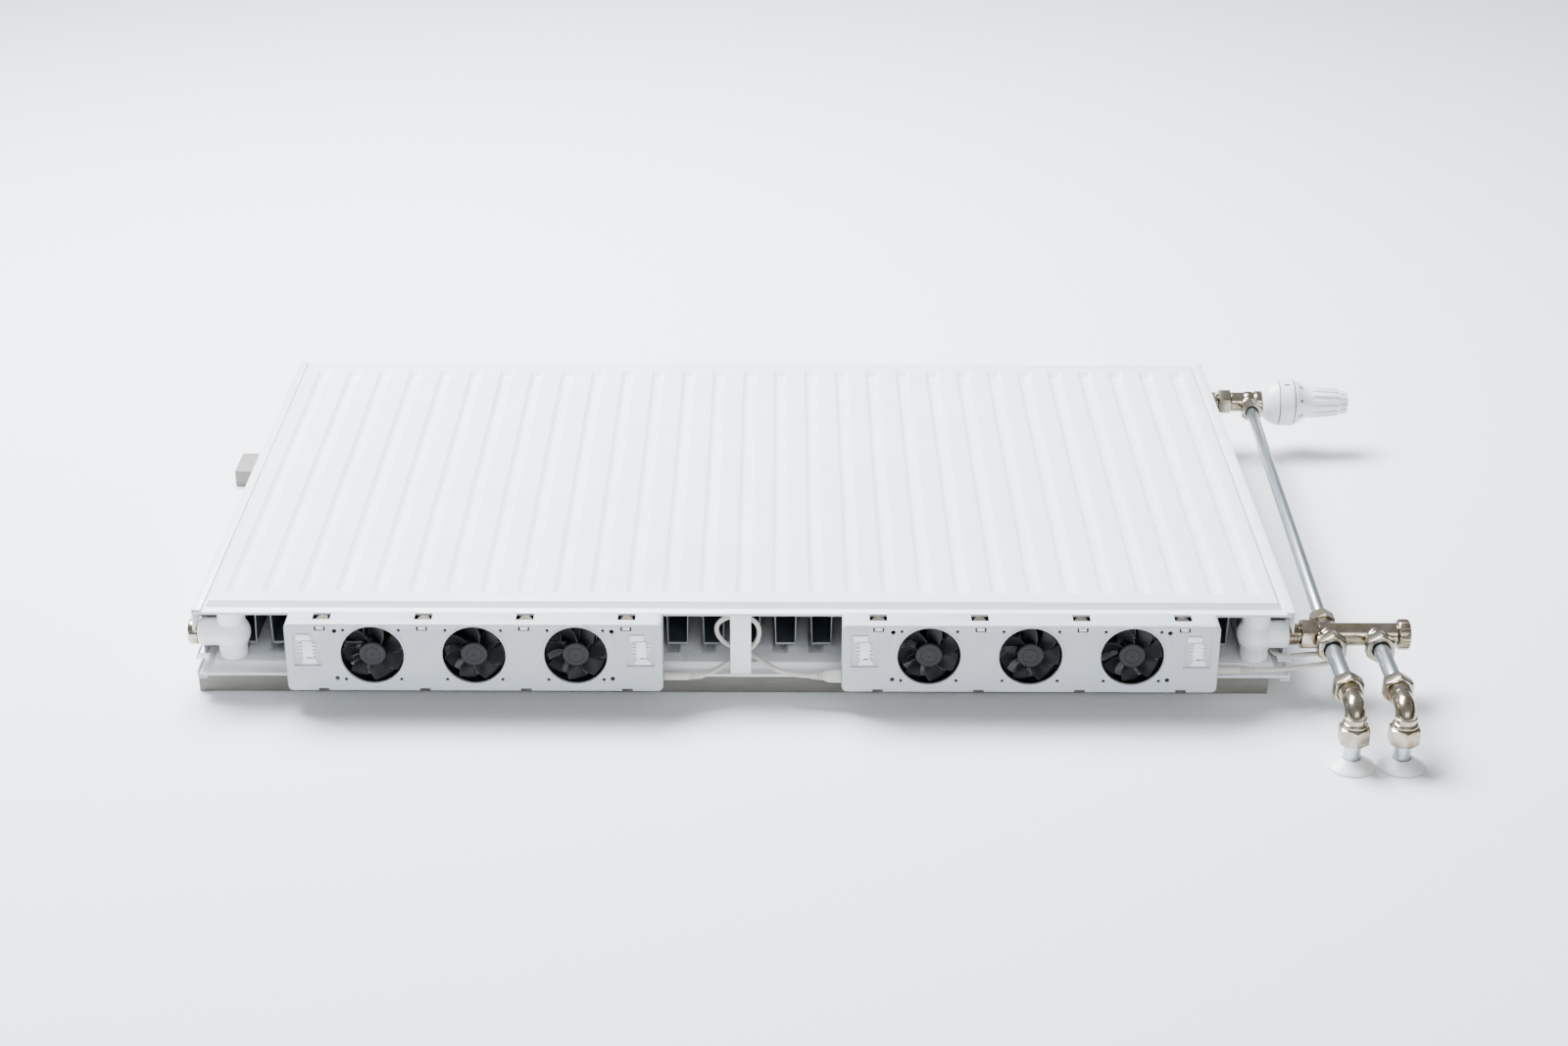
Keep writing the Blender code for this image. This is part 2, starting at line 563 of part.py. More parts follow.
def fan_rotor(name, x):
    """A hub with its blades and shaft, with its origin on its own axis."""
    hub_front = MODULE_FACE_Y + 1.2 * MM
    outline = [(0, 10.8 * MM), (1.4 * MM, HUB_RADIUS), (8.8 * MM, HUB_RADIUS)]
    rotor = turned(name, (x, hub_front, FAN_Z), (0, 1, 0), outline, SIDES, BLACK_PBT)
    shaft = prism(name + "_shaft", (x, hub_front + 8 * MM, FAN_Z), (0, 1, 0), 4.8 * MM, 1.5 * MM, 8, cutter=True)
    bm = bmesh.new()
    half_angle = math.radians(20)
    root = HUB_RADIUS - MM
    for blade in range(BLADES):
        made = bmesh.ops.create_grid(bm, x_segments=1, y_segments=1, size=0.5)["verts"]
        turn = blade * math.tau / BLADES
        for vertex in made:
            outward, across = vertex.co.x + 0.5, vertex.co.y * 2
            radius = root + outward * (BLADE_TIP - root)
            angle = turn + across * half_angle + outward * math.radians(8)
            vertex.co = (radius * math.cos(angle), radius * math.sin(angle), 4.9 * MM + across * 3 * MM)
    blades = add_object(name + "_blades", mesh_from(bm, name + "_blades"), None, cutter=True)
    add_thickness(blades, 1.2 * MM, 0)
    place(blades, (x, hub_front, FAN_Z), (0, 1, 0))
    combine(rotor, "UNION", shaft, blades)


JUMPER_ROUTE = (
    (-46, -11.8, 32), (-38, -11.4, 32), (-30, -8.3, 32.6), (-23, -2.2, 34), (-16, 3.8, 35.9), (-8, 6.4, 39.8),
    (1, 7, 45.5), (8.5, 7.2, 52), (13.2, 7.2, 60), (14.2, 7.3, 69), (11, 7.6, 76.5), (4, 8, 81), (-5, 8.4, 82.2),
    (-14.5, 9, 80.6), (-22, 10, 75.6), (-24.6, 10.8, 68.5), (-22.5, 11.6, 60), (-16, 12.3, 52.5), (-7, 12.6, 47),
    (2, 12, 43.6), (10.5, 8.5, 41), (19, 2, 38.4), (28, -4.8, 36), (39, -9.6, 33.8), (53, -11.6, 32.4), (68, -11.8, 32),
)

SUPPLY_ROUTE = (
    (465.3, -7, 37), (476, -7.2, 36.8), (488, -6.6, 37), (500, -4.6, 37.4), (511, -1.6, 37.6), (522, 1.2, 37.6),
    (531, 3.2, 37.6), (537.6, 6.6, 37.6), (540.8, 12.6, 37.6), (538.6, 19, 37.4), (532, 23, 37.2), (523, 23.6, 37),
    (512, 21.6, 36.8), (502.5, 20.2, 36.4), (494.5, 23, 35.7), (489, 29.5, 35.4), (486.8, 39, 35.4),
    (483, 58, 35.4), (474, 100, 35.4), (467, 170, 35.4), (471, 250, 35.4), (466, 330, 35.4), (472, 410, 35.4),
    (469, 480, 35.4), (480, 535, 35.4), (486, 562, 35.4), (487, 585, 35.4), (487.2, 600, 34.8), (487.2, 611, 30.5),
    (487, 619.5, 21), (486.4, 626.5, 11), (485, 636, 4.2), (481.8, 650, 2.6), (479.4, 660, 2.6), (479, 667.4, 2.6),
)


def route_points(route):
    """A route given in millimetres from the bottom edge, as places in the model."""
    return [(x * MM, BOTTOM_Y + y * MM, z * MM) for x, y, z in route]


def leads(housings):
    """The jumper between the modules, and the supply lead with its plug, coil and adapter."""
    left_end = MODULE_X[0] + MODULE_LENGTH / 2
    right_end = MODULE_X[1] - MODULE_LENGTH / 2
    supply_end = MODULE_X[1] + MODULE_LENGTH / 2
    nose = 3 * MM
    add_socket(housings[0], left_end, SOCKET_Y, JUMPER_SOCKET_Z, nose)
    add_socket(housings[1], right_end, SOCKET_Y, JUMPER_SOCKET_Z, nose)
    add_socket(housings[1], supply_end, SUPPLY_SOCKET[0], SUPPLY_SOCKET[1], nose)
    barrel = [(-2.5 * MM, nose), (CLEAR, nose), (CLEAR, 4.3 * MM), (25 * MM, 4.1 * MM), (36 * MM, 2.9 * MM)]
    hood = [(-2.5 * MM, nose), (CLEAR, nose), (CLEAR, 6.2 * MM), (13 * MM, 6 * MM), (19 * MM, 4 * MM), (29 * MM, 3 * MM)]
    jumper = tube("jumper_lead", smooth_route(route_points(JUMPER_ROUTE), 9 * MM), LEAD_DIAMETER, IVORY_PVC)
    left_plug = turned("jumper_plug_left", (left_end, SOCKET_Y, JUMPER_SOCKET_Z), (1, 0, 0), barrel, 12, cutter=True)
    right_plug = turned("jumper_plug_right", (right_end, SOCKET_Y, JUMPER_SOCKET_Z), (-1, 0, 0), hood, 12, cutter=True)
    combine(jumper, "UNION", left_plug, right_plug)
    supply_barrel = [(-2.5 * MM, nose), (CLEAR, nose), (CLEAR, 4.2 * MM), (25 * MM, 4 * MM), (35.5 * MM, 2.8 * MM)]
    turned("supply_plug", (supply_end, *SUPPLY_SOCKET), (1, 0, 0), supply_barrel, 12, IVORY_PVC)
    tube("supply_cable", smooth_route(route_points(SUPPLY_ROUTE), 13 * MM), LEAD_DIAMETER, IVORY_PVC)
    coil_centre = (455 * MM, BOTTOM_Y + 690 * MM, 0)
    turned("supply_coil", coil_centre, (0, 0, 1), [(0, 31 * MM), (9.2 * MM, 31 * MM)], 24, IVORY_PVC,
           bore=[(0, 17 * MM), (9.2 * MM, 17 * MM)])
    power_adapter((409 * MM, BOTTOM_Y + 714 * MM))


def power_adapter(relief_tip):
    """A small plug-in supply on its side, with a tapered relief where the lead goes in."""
    x, y = relief_tip
    body = block("power_adapter", (x - 62 * MM, y - 19 * MM, 0), (x, y + 19 * MM, 28 * MM), WHITE_ABS)
    add_chamfer(body, 3 * MM, 2)
    taper = [(0, 4 * MM), (24 * MM, 2.9 * MM)]
    relief = turned("adapter_relief", (x - MM, y, 7 * MM), (1, 0, 0), taper, 12, cutter=True)
    pins = [prism("adapter_pin", (x - 61 * MM, y + side * 9.5 * MM, 14 * MM), (-1, 0, 0), 20 * MM, 2.2 * MM, 10,
                  cutter=True) for side in (-1, 1)]
    combine(body, "UNION", relief, *pins)


def hexagon_nut(name, start, along, length, across_flats, bore):
    """A plain hexagon nut. Bore holds (distance, radius) from its start."""
    nut = prism(name, start, along, length, across_flats / math.sqrt(3), 6, NICKEL)
    hole = turned(name + "_hole", start, along, bore, SIDES, cutter=True)
    combine(nut, "DIFFERENCE", hole)
    return nut


def union_joint(prefix, port_y, collar, nut_start, nut_length, across_flats):
    """A tail screwed into a port and the union nut that pulls a fitting onto it. Returns where its spigot starts."""
    start = (PORT_FACE, port_y, PORT_Z)
    shoulder = 3 * MM
    seat = nut_start + shoulder + CLEAR
    spigot = seat + 2.7 * MM + CLEAR
    outline = [(-THREAD_LENGTH, THREAD_RADIUS), (CLEAR, THREAD_RADIUS), (CLEAR, collar),
               (nut_start - 3 * MM, collar), (nut_start - 2 * MM, NECK_RADIUS), (seat, NECK_RADIUS),
               (seat, SPIGOT_RADIUS - 0.4 * MM), (spigot - CLEAR, SPIGOT_RADIUS - 0.4 * MM)]
    turned(prefix + "_tail", start, (1, 0, 0), outline, SIDES, NICKEL)
    nut_at = (PORT_FACE + nut_start, port_y, PORT_Z)
    bore = [(-MM, NECK_RADIUS + CLEAR), (shoulder, NECK_RADIUS + CLEAR), (shoulder, SPIGOT_RADIUS + CLEAR),
            (nut_length + MM, SPIGOT_RADIUS + CLEAR)]
    hexagon_nut(prefix + "_union_nut", nut_at, (1, 0, 0), nut_length, across_flats, bore)
    return spigot


def boss(name, x, axis_y, side, radius):
    """A closed stub that a fitting's body takes in, running along Y to a pipe's end."""
    return prism(name, (x, axis_y, PORT_Z), (0, side, 0), BOSS_LENGTH, radius, SIDES, cutter=True)


def thermostatic_valve():
    """The valve body on the upper right port, with its pin, sensor base and handle."""
    start = (PORT_FACE, UPPER_PORT_Y, PORT_Z)
    nut_start, nut_length = 17 * MM, 14 * MM
    spigot = union_joint("valve", UPPER_PORT_Y, 11.4 * MM, nut_start, nut_length, 25 * MM)
    nut_end = nut_start + nut_length
    outline = [(spigot, SPIGOT_RADIUS), (nut_end + CLEAR, SPIGOT_RADIUS), (nut_end + CLEAR, 10.8 * MM),
               (57 * MM, 10.8 * MM), (58.5 * MM, 12.4 * MM), (HEAD_START - CLEAR, 12.4 * MM)]
    body = turned("valve_body", start, (1, 0, 0), outline, SIDES, NICKEL)
    globe = ball("valve_globe", (VALVE_X, UPPER_PORT_Y, PORT_Z), 12 * MM, SIDES, cutter=True)
    bore = [(49.5 * MM, PIN_RADIUS + 0.4 * MM), (HEAD_START + MM, PIN_RADIUS + 0.4 * MM)]
    gland = turned("valve_gland", start, (1, 0, 0), bore, 12, cutter=True)
    combine(body, "UNION", globe, boss("valve_boss", VALVE_X, UPPER_PORT_Y, -1, 8.4 * MM))
    combine(body, "DIFFERENCE", gland)
    turned("valve_pin", start, (1, 0, 0), [(52.5 * MM, PIN_RADIUS), (71 * MM, PIN_RADIUS)], 12, NICKEL)
    base_outline = [(HEAD_START, 11.7 * MM), (68 * MM, 17.5 * MM), (72 * MM, 21 * MM), (77 * MM, 23.8 * MM),
                    (83 * MM, 25.7 * MM), (97 * MM, 26.3 * MM), (100 * MM, 25.2 * MM), (100 * MM, 8 * MM),
                    (112 * MM, 8 * MM)]
    base = turned("head_base", start, (1, 0, 0), base_outline, FINE_SIDES, WHITE_ABS)
    cavity = turned("sensor_cavity", start, (1, 0, 0), [(HEAD_START - MM, 4 * MM), (76 * MM, 4 * MM)], 12, cutter=True)
    combine(base, "DIFFERENCE", cavity)
    handle_outline = [(100.4 * MM, 24.9 * MM), (104 * MM, 23.4 * MM), (111 * MM, 19.4 * MM), (118 * MM, 17.2 * MM),
                      (132 * MM, 15 * MM), (152 * MM, 13.4 * MM), (160 * MM, 12 * MM)]
    handle = turned("head_handle", start, (1, 0, 0), handle_outline, FINE_SIDES, WHITE_ABS)
    seat = turned("handle_seat", start, (1, 0, 0), [(99 * MM, 8.3 * MM), (112.4 * MM, 8.3 * MM)], SIDES, cutter=True)
    combine(handle, "DIFFERENCE", seat)


def distributor_block():
    """The twin-pipe block on the lower right port, with its cap, two outlets and the riser's inlet."""
    start = (PORT_FACE, LOWER_PORT_Y, PORT_Z)
    nut_start, nut_length = 11 * MM, 16 * MM
    spigot = union_joint("block", LOWER_PORT_Y, THREAD_RADIUS, nut_start, nut_length, 26 * MM)
    nut_end = nut_start + nut_length
    outline = [(spigot, SPIGOT_RADIUS), (nut_end + CLEAR, SPIGOT_RADIUS), (nut_end + CLEAR, 10.75 * MM),
               (100 * MM, 10.75 * MM)]
    body = turned("block_body", start, (1, 0, 0), outline, SIDES, NICKEL)
    outlets = [boss("block_outlet", x, LOWER_PORT_Y, -1, 8.6 * MM) for x in BLOCK_PIPE_X]
    inlet = boss("block_inlet", BLOCK_PIPE_X[0], LOWER_PORT_Y, 1, 8.4 * MM)
    combine(body, "UNION", inlet, *outlets)
    cap_start = 100 * MM + CLEAR
    turned("block_cap", start, (1, 0, 0), [(cap_start, 13.2 * MM), (cap_start + MM, 14.4 * MM),
           (cap_start + 10 * MM, 14.4 * MM), (cap_start + 11 * MM, 13.2 * MM)], FINE_SIDES, NICKEL)


def riser():
    """The pipe from the block up to the valve, and the compression nut at each end of it."""
    top = (VALVE_X, UPPER_PORT_Y - BOSS_LENGTH - CLEAR, PORT_Z)
    foot = (BLOCK_PIPE_X[0], LOWER_PORT_Y + BOSS_LENGTH + CLEAR, PORT_Z)
    along = Vector(top) - Vector(foot)
    bore = [(-MM, RISER_RADIUS + 2 * CLEAR), (NUT_LENGTH + MM, RISER_RADIUS + 2 * CLEAR)]
    prism("riser_pipe", foot, along, along.length, RISER_RADIUS, SIDES, ZINC)
    hexagon_nut("riser_nut_upper", top, (0, -1, 0), NUT_LENGTH - 2 * MM, 21 * MM, bore)
    hexagon_nut("riser_nut_lower", foot, (0, 1, 0), NUT_LENGTH, 21 * MM, bore)


def wall_branch(number, x):
    """One pipe from the block to its elbow, down to the wall face, with its nuts and rosette."""
    outlet_y = LOWER_PORT_Y - BOSS_LENGTH - CLEAR
    corner_y = LOWER_PORT_Y - ELBOW_RUN
    arm_y = corner_y + ELBOW_ARM
    arm_z = PORT_Z - ELBOW_DROP
    across_flats = 25 * MM
    hole = PIPE_RADIUS + CLEAR
    bore = [(-MM, hole), (NUT_LENGTH + 3 * MM, hole)]
    hexagon_nut(f"outlet_nut_{number}", (x, outlet_y, PORT_Z), (0, -1, 0), NUT_LENGTH, across_flats, bore)
    prism(f"lower_pipe_{number}", (x, outlet_y, PORT_Z), (0, -1, 0), outlet_y - arm_y - CLEAR, PIPE_RADIUS, SIDES, ZINC)
    elbow = ball(f"elbow_{number}", (x, corner_y, PORT_Z), ELBOW_RADIUS + 0.8 * MM, SIDES, NICKEL)
    arms = (prism("elbow_arm", (x, corner_y, PORT_Z), (0, 1, 0), ELBOW_ARM, ELBOW_RADIUS, SIDES, cutter=True),
            prism("elbow_drop", (x, corner_y, PORT_Z), (0, 0, -1), ELBOW_DROP, ELBOW_RADIUS, SIDES, cutter=True))
    combine(elbow, "UNION", *arms)
    upper = (x, arm_y + CLEAR, PORT_Z)
    lower = (x, corner_y, arm_z - CLEAR)
    hexagon_nut(f"elbow_nut_upper_{number}", upper, (0, 1, 0), NUT_LENGTH, across_flats, bore)
    hexagon_nut(f"elbow_nut_lower_{number}", lower, (0, 0, -1), NUT_LENGTH + 2 * MM, across_flats, bore)
    prism(f"wall_stub_{number}", (x, corner_y, 0), (0, 0, 1), arm_z - CLEAR, PIPE_RADIUS, SIDES, ZINC)
    outline = [(0, ROSETTE_RADIUS), (1.2 * MM, ROSETTE_RADIUS), (ROSETTE_HEIGHT - 1.5 * MM, 11 * MM),
               (ROSETTE_HEIGHT, 9.6 * MM)]
    turned(f"rosette_{number}", (x, corner_y, 0), (0, 0, 1), outline, FINE_SIDES, WHITE_ABS,
           bore=[(0, hole), (ROSETTE_HEIGHT, hole)])


def radiator_body():
    panel_shell("front_outer_shell", FRONT_MID_Z, 1)
    panel_shell("front_inner_shell", FRONT_MID_Z, -1)
    panel_shell("rear_inner_shell", REAR_MID_Z, 1)
    hanging_lugs(panel_shell("rear_outer_shell", REAR_MID_Z, -1))
    convector()
    side_panel("side_panel_left", -1)
    side_panel("side_panel_right", 1)
    top_grille()
    bottom_strap()
    for height, port_y in (("lower", LOWER_PORT_Y), ("upper", UPPER_PORT_Y)):
        tee(f"tee_{height}_left", -1, port_y)
        tee(f"tee_{height}_right", 1, port_y)
    end_plugs()
    rail("lower_rail", 0, LOWER_RAIL_X)
    rail("upper_rail", RAIL_SPACING, UPPER_RAIL_X)


def fan_modules():
    housings = []
    for module, (word, centre_x) in enumerate(zip(("left", "right"), MODULE_X)):
        housings.append(fan_housing(f"fan_housing_{word}", centre_x))
        fan_tray(f"fan_tray_{word}", centre_x)
        for fan in range(3):
            fan_rotor(f"fan_rotor_{module * 3 + fan + 1}", centre_x + (fan - 1) * FAN_PITCH)
    return housings


def main():
    radiator_body()
    leads(fan_modules())
    thermostatic_valve()
    distributor_block()
    riser()
    for number, x in enumerate(BLOCK_PIPE_X, 1):
        wall_branch(number, x)


main()
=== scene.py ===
"""Looks of a panel radiator lying on two rails, with its valve, pipe block, elbows and clip-on fan modules.

Everything is in metres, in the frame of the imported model: +X runs along the radiator towards the valve, +Y
from its bottom edge to its top edge, and +Z out of its front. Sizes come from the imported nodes' boxes. The
outlines of turned pieces and the routes of the leads are in millimetres.
"""

import json
import math

import bpy
from mathutils import Matrix, Vector


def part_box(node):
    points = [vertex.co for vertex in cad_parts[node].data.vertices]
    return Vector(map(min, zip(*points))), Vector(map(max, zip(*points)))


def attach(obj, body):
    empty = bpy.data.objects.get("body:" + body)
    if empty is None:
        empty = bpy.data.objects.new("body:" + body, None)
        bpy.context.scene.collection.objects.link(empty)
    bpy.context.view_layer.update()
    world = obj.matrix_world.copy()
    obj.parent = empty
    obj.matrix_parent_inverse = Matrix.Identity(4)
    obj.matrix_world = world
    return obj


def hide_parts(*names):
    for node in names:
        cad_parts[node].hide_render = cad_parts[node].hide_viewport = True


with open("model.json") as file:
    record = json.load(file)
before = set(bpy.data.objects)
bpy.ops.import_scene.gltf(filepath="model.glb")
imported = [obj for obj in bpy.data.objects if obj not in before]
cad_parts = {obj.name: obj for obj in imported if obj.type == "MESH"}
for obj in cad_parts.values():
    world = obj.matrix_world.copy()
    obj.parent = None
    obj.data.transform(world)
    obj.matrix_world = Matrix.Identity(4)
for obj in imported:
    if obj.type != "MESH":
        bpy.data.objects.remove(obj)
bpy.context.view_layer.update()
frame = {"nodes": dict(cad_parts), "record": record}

MM = 0.001
ROUND = 48
BODY = "radiator"
X_AXIS, Y_AXIS, Z_AXIS = Vector((1, 0, 0)), Vector((0, 1, 0)), Vector((0, 0, 1))

# Places that several pieces share
BOTTOM_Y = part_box("front_outer_shell")[0].y
PORT_Z = sum(corner.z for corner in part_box("block_tail")) / 2
LOWER_PORT_Y = sum(corner.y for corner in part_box("block_tail")) / 2
UPPER_PORT_Y = sum(corner.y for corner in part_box("valve_tail")) / 2
PORT_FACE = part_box("side_panel_right")[1].x
FAN_PITCH = 91.7 * MM
FAN_Z = 59.4 * MM
BLADES = 7
GRIP_RIBS = 14
CAP_GROOVES = 24
LEAD_DIAMETER = 4.4 * MM
# Sockets in the ends of the fan modules, as how far behind the face and how high
JUMPER_SOCKET = (12.8 * MM, 32 * MM)
SUPPLY_SOCKET = (17.8 * MM, 37 * MM)
ADAPTER_LEAD_Z = 7 * MM
POCKET_DEPTH = 1.5 * MM
CORNERS = ((-1, -1), (-1, 1), (1, -1), (1, 1))


# Materials ---------------------------------------------------------------------------------------


def colour(hex_code):
    """An sRGB hex colour as the linear values that a socket holds."""
    parts = [int(hex_code[i:i + 2], 16) / 255 for i in (1, 3, 5)]
    return (*[part / 12.92 if part <= 0.04045 else ((part + 0.055) / 1.055) ** 2.4 for part in parts], 1.0)


def add_node(tree, kind, inputs=None, to=None, **settings):
    """Adds a node. Its inputs are values or outputs to link, and its first live output goes to a socket."""
    node = tree.nodes.new("ShaderNode" + kind)
    for name, value in settings.items():
        setattr(node, name, value)
    for name, value in (inputs or {}).items():
        if isinstance(value, bpy.types.NodeSocket):
            tree.links.new(value, node.inputs[name])
        else:
            node.inputs[name].default_value = value
    if to:
        tree.links.new(next(output for output in node.outputs if output.enabled), to)
    return node


def shaded(name, hex_code, roughness, metallic=0.0, **sockets):
    """A material with its constants on the shader's own sockets, with its tree, its sockets and the place."""
    material = bpy.data.materials.new(name)
    material.use_nodes = True
    tree = material.node_tree
    shader = tree.nodes["Principled BSDF"]
    values = {"Base Color": colour(hex_code), "Roughness": roughness, "Metallic": metallic}
    values.update({socket.replace("_", " "): value for socket, value in sockets.items()})
    for socket, value in values.items():
        shader.inputs[socket].default_value = value
    place = add_node(tree, "TexCoord").outputs["Object"]
    return material, tree, shader.inputs, place


def stove_enamel():
    """Stoved polyester enamel on pressed steel: bright white gloss, with a faint orange peel over it."""
    material, tree, to, place = shaded("stove_enamel", "#F3F4F6", 0.3, Coat_Weight=0.25, Coat_Roughness=0.12)
    # Real orange peel is 2 to 3 mm across. It is drawn at 7 mm, the least that shows.
    peel = add_node(tree, "TexNoise", {"Vector": place, "Scale": 1 / (7 * MM), "Detail": 1.0}).outputs["Fac"]
    add_node(tree, "Bump", {"Height": peel, "Strength": 0.25, "Distance": 0.04 * MM}, to["Normal"])
    pour = add_node(tree, "TexNoise", {"Vector": place, "Scale": 1 / (90 * MM), "Detail": 2.0}).outputs["Fac"]
    add_node(tree, "MapRange", {"Value": pour, "To Min": 0.22, "To Max": 0.36}, to["Roughness"])
    tint = add_node(tree, "MapRange", {"Value": pour, "From Min": 0.35, "From Max": 0.65}).outputs["Result"]
    add_node(tree, "Mix", {"Factor": tint, "A": colour("#EFF2F4"), "B": colour("#F5F6F7")}, to["Base Color"],
             data_type="RGBA")
    return material


def slate_primer():
    """Dip primer inside the radiator: dark slate, satin, with a painted highlight on the sheet's cut ends."""
    material, tree, to, place = shaded("slate_primer", "#262B31", 0.5)
    low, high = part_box("convector")
    y = add_node(tree, "SeparateXYZ", {"Vector": place}).outputs["Y"]
    offset = add_node(tree, "Math", {0: y, 1: (low.y + high.y) / 2}, operation="SUBTRACT").outputs["Value"]
    reach = add_node(tree, "Math", {0: offset}, operation="ABSOLUTE").outputs["Value"]
    # Painted highlight: the last 3 mm at each end of the sheet are painted light grey, where the cut ends
    # would catch the light.
    edge = (high.y - low.y) / 2 - 3 * MM
    painted_highlight_band = add_node(tree, "Math", {0: reach, 1: edge}, operation="GREATER_THAN").outputs["Value"]
    cloud = add_node(tree, "TexNoise", {"Vector": place, "Scale": 1 / (25 * MM), "Detail": 3.0})
    cloud = cloud.outputs["Fac"]
    coat = add_node(tree, "Mix", {"Factor": cloud, "A": colour("#20262D"), "B": colour("#4A5560")},
                    data_type="RGBA").outputs["Result"]
    # The painted highlight is laid over the slate here.
    add_node(tree, "Mix", {"Factor": painted_highlight_band, "A": coat, "B": colour("#C9CCD0")}, to["Base Color"],
             data_type="RGBA")
    add_node(tree, "MapRange", {"Value": cloud, "To Min": 0.4, "To Max": 0.62}, to["Roughness"])
    return material


def painted_board():
    """Planed softwood under warm grey wall paint: dull, with the grain still faintly raised."""
    material, tree, to, place = shaded("painted_board", "#7F7E77", 0.62)
    along = add_node(tree, "Mapping", {"Vector": place, "Scale": (0.06, 1.0, 1.0)}).outputs["Vector"]
    # Softwood rings are 2 to 4 mm apart.
    grain = add_node(tree, "TexNoise", {"Vector": along, "Scale": 1 / (3 * MM), "Detail": 4.0}).outputs["Fac"]
    add_node(tree, "Mix", {"Factor": grain, "A": colour("#6C6B64"), "B": colour("#8D8C85")}, to["Base Color"],
             data_type="RGBA")
    add_node(tree, "Bump", {"Height": grain, "Strength": 0.5, "Distance": 0.15 * MM}, to["Normal"])
    return material


def nickel_plate():
    """Nickel-plated brass fittings: warm bright metal, cloudy from tumbling and yellower where it is thin."""
    material, tree, to, place = shaded("nickel_plated_brass", "#A89F90", 0.18, 1.0)
    cloud = add_node(tree, "TexNoise", {"Vector": place, "Scale": 1 / (9 * MM), "Detail": 3.0}).outputs["Fac"]
    thin = add_node(tree, "MapRange", {"Value": cloud, "From Min": 0.35, "From Max": 0.7}).outputs["Result"]
    add_node(tree, "Mix", {"Factor": thin, "A": colour("#B5AEA2"), "B": colour("#938468")}, to["Base Color"],
             data_type="RGBA")
    add_node(tree, "MapRange", {"Value": cloud, "To Min": 0.12, "To Max": 0.3}, to["Roughness"])
    # Forging texture under the plating, about half a millimetre, drawn at 1.2 mm so that it shows.
    pits = add_node(tree, "TexNoise", {"Vector": place, "Scale": 1 / (1.2 * MM), "Detail": 2.0})
    add_node(tree, "Bump", {"Height": pits.outputs["Fac"], "Strength": 0.12, "Distance": 0.05 * MM},
             to["Normal"])
    return material


def zinc_plate(name, along):
    """Bright zinc on drawn steel pipe: blue-grey, with drawing streaks along the pipe."""
    material, tree, to, place = shaded(name, "#BECAD0", 0.3, 1.0)
    scale = tuple(0.03 if axis else 1.0 for axis in along)
    drawn = add_node(tree, "Mapping", {"Vector": place, "Scale": scale}).outputs["Vector"]
    # Drawing marks are 0.1 to 0.5 mm apart. They are drawn at 1.6 mm so that they show.
    streaks = add_node(tree, "TexNoise", {"Vector": drawn, "Scale": 1 / (1.6 * MM), "Detail": 3.0})
    streaks = streaks.outputs["Fac"]
    add_node(tree, "Mix", {"Factor": streaks, "A": colour("#9FADB6"), "B": colour("#D8E0E4")},
             to["Base Color"], data_type="RGBA")
    add_node(tree, "MapRange", {"Value": streaks, "To Min": 0.22, "To Max": 0.42}, to["Roughness"])
    add_node(tree, "Bump", {"Height": streaks, "Strength": 0.2, "Distance": 0.04 * MM}, to["Normal"])
    return material


def moulded(name, hex_low, hex_high, roughness, grain, depth, **sockets):
    """Injection-moulded plastic: one colour with a little drift, and the mould's grain in millimetres."""
    material, tree, to, place = shaded(name, hex_low, roughness, **sockets)
    drift = add_node(tree, "TexNoise", {"Vector": place, "Scale": 1 / (30 * MM), "Detail": 2.0})
    drift = drift.outputs["Fac"]
    add_node(tree, "Mix", {"Factor": drift, "A": colour(hex_low), "B": colour(hex_high)}, to["Base Color"],
             data_type="RGBA")
    spread = {"Value": drift, "To Min": roughness - 0.06, "To Max": roughness + 0.06}
    add_node(tree, "MapRange", spread, to["Roughness"])
    # Spark-eroded grain is a few hundredths of a millimetre, and is drawn at 1 mm or more so that it shows.
    spark = add_node(tree, "TexNoise", {"Vector": place, "Scale": 1 / (grain * MM), "Detail": 1.0})
    add_node(tree, "Bump", {"Height": spark.outputs["Fac"], "Strength": 0.3, "Distance": depth * MM},
             to["Normal"])
    return material


def seamless_floor():
    """A pale matt studio floor, with a painted pool of light round the middle."""
    material, tree, to, place = shaded("studio_floor", "#E6EAED", 0.9, Specular_IOR_Level=0.1)
    ring = add_node(tree, "Mapping", {"Vector": place, "Location": (-0.1, -0.25, 0),
                                      "Scale": (0.34, 0.34, 0.34)})
    # Painted pool of light: the floor is drawn lighter towards a spot near the radiator.
    painted_light_pool = add_node(tree, "TexGradient", {"Vector": ring.outputs["Vector"]}, gradient_type="SPHERICAL")
    add_node(tree, "Mix", {"Factor": painted_light_pool.outputs["Fac"], "A": colour("#DFE3E6"), "B": colour("#F4F5F6")},
             to["Base Color"], data_type="RGBA")
    return material


# Each finish is a material with the slot that it fills.
ENAMEL = (stove_enamel(), "enamel")
SLATE = (slate_primer(), "slate_primer")
BOARD = (painted_board(), "painted_board")
NICKEL = (nickel_plate(), "nickel_plate")
ZINC_Y = (zinc_plate("zinc_plated_steel", (0, 1, 0)), "zinc_plate")
ZINC_Z = (zinc_plate("zinc_plated_stub", (0, 0, 1)), "zinc_plate")
# ABS covers of the fan modules: an even cool grey, satin.
GREY_ABS = (moulded("light_grey_abs", "#B7BEC3", "#BFC5CA", 0.46, 1.4, 0.05), "light_grey_abs")
# Glass-filled PBT of the fans: nearly black, with a soft sheen.
BLACK_PBT = (moulded("black_glass_filled_pbt", "#0B0C0D", "#131517", 0.4, 1.0, 0.04, Specular_IOR_Level=0.3),
             "black_pbt")
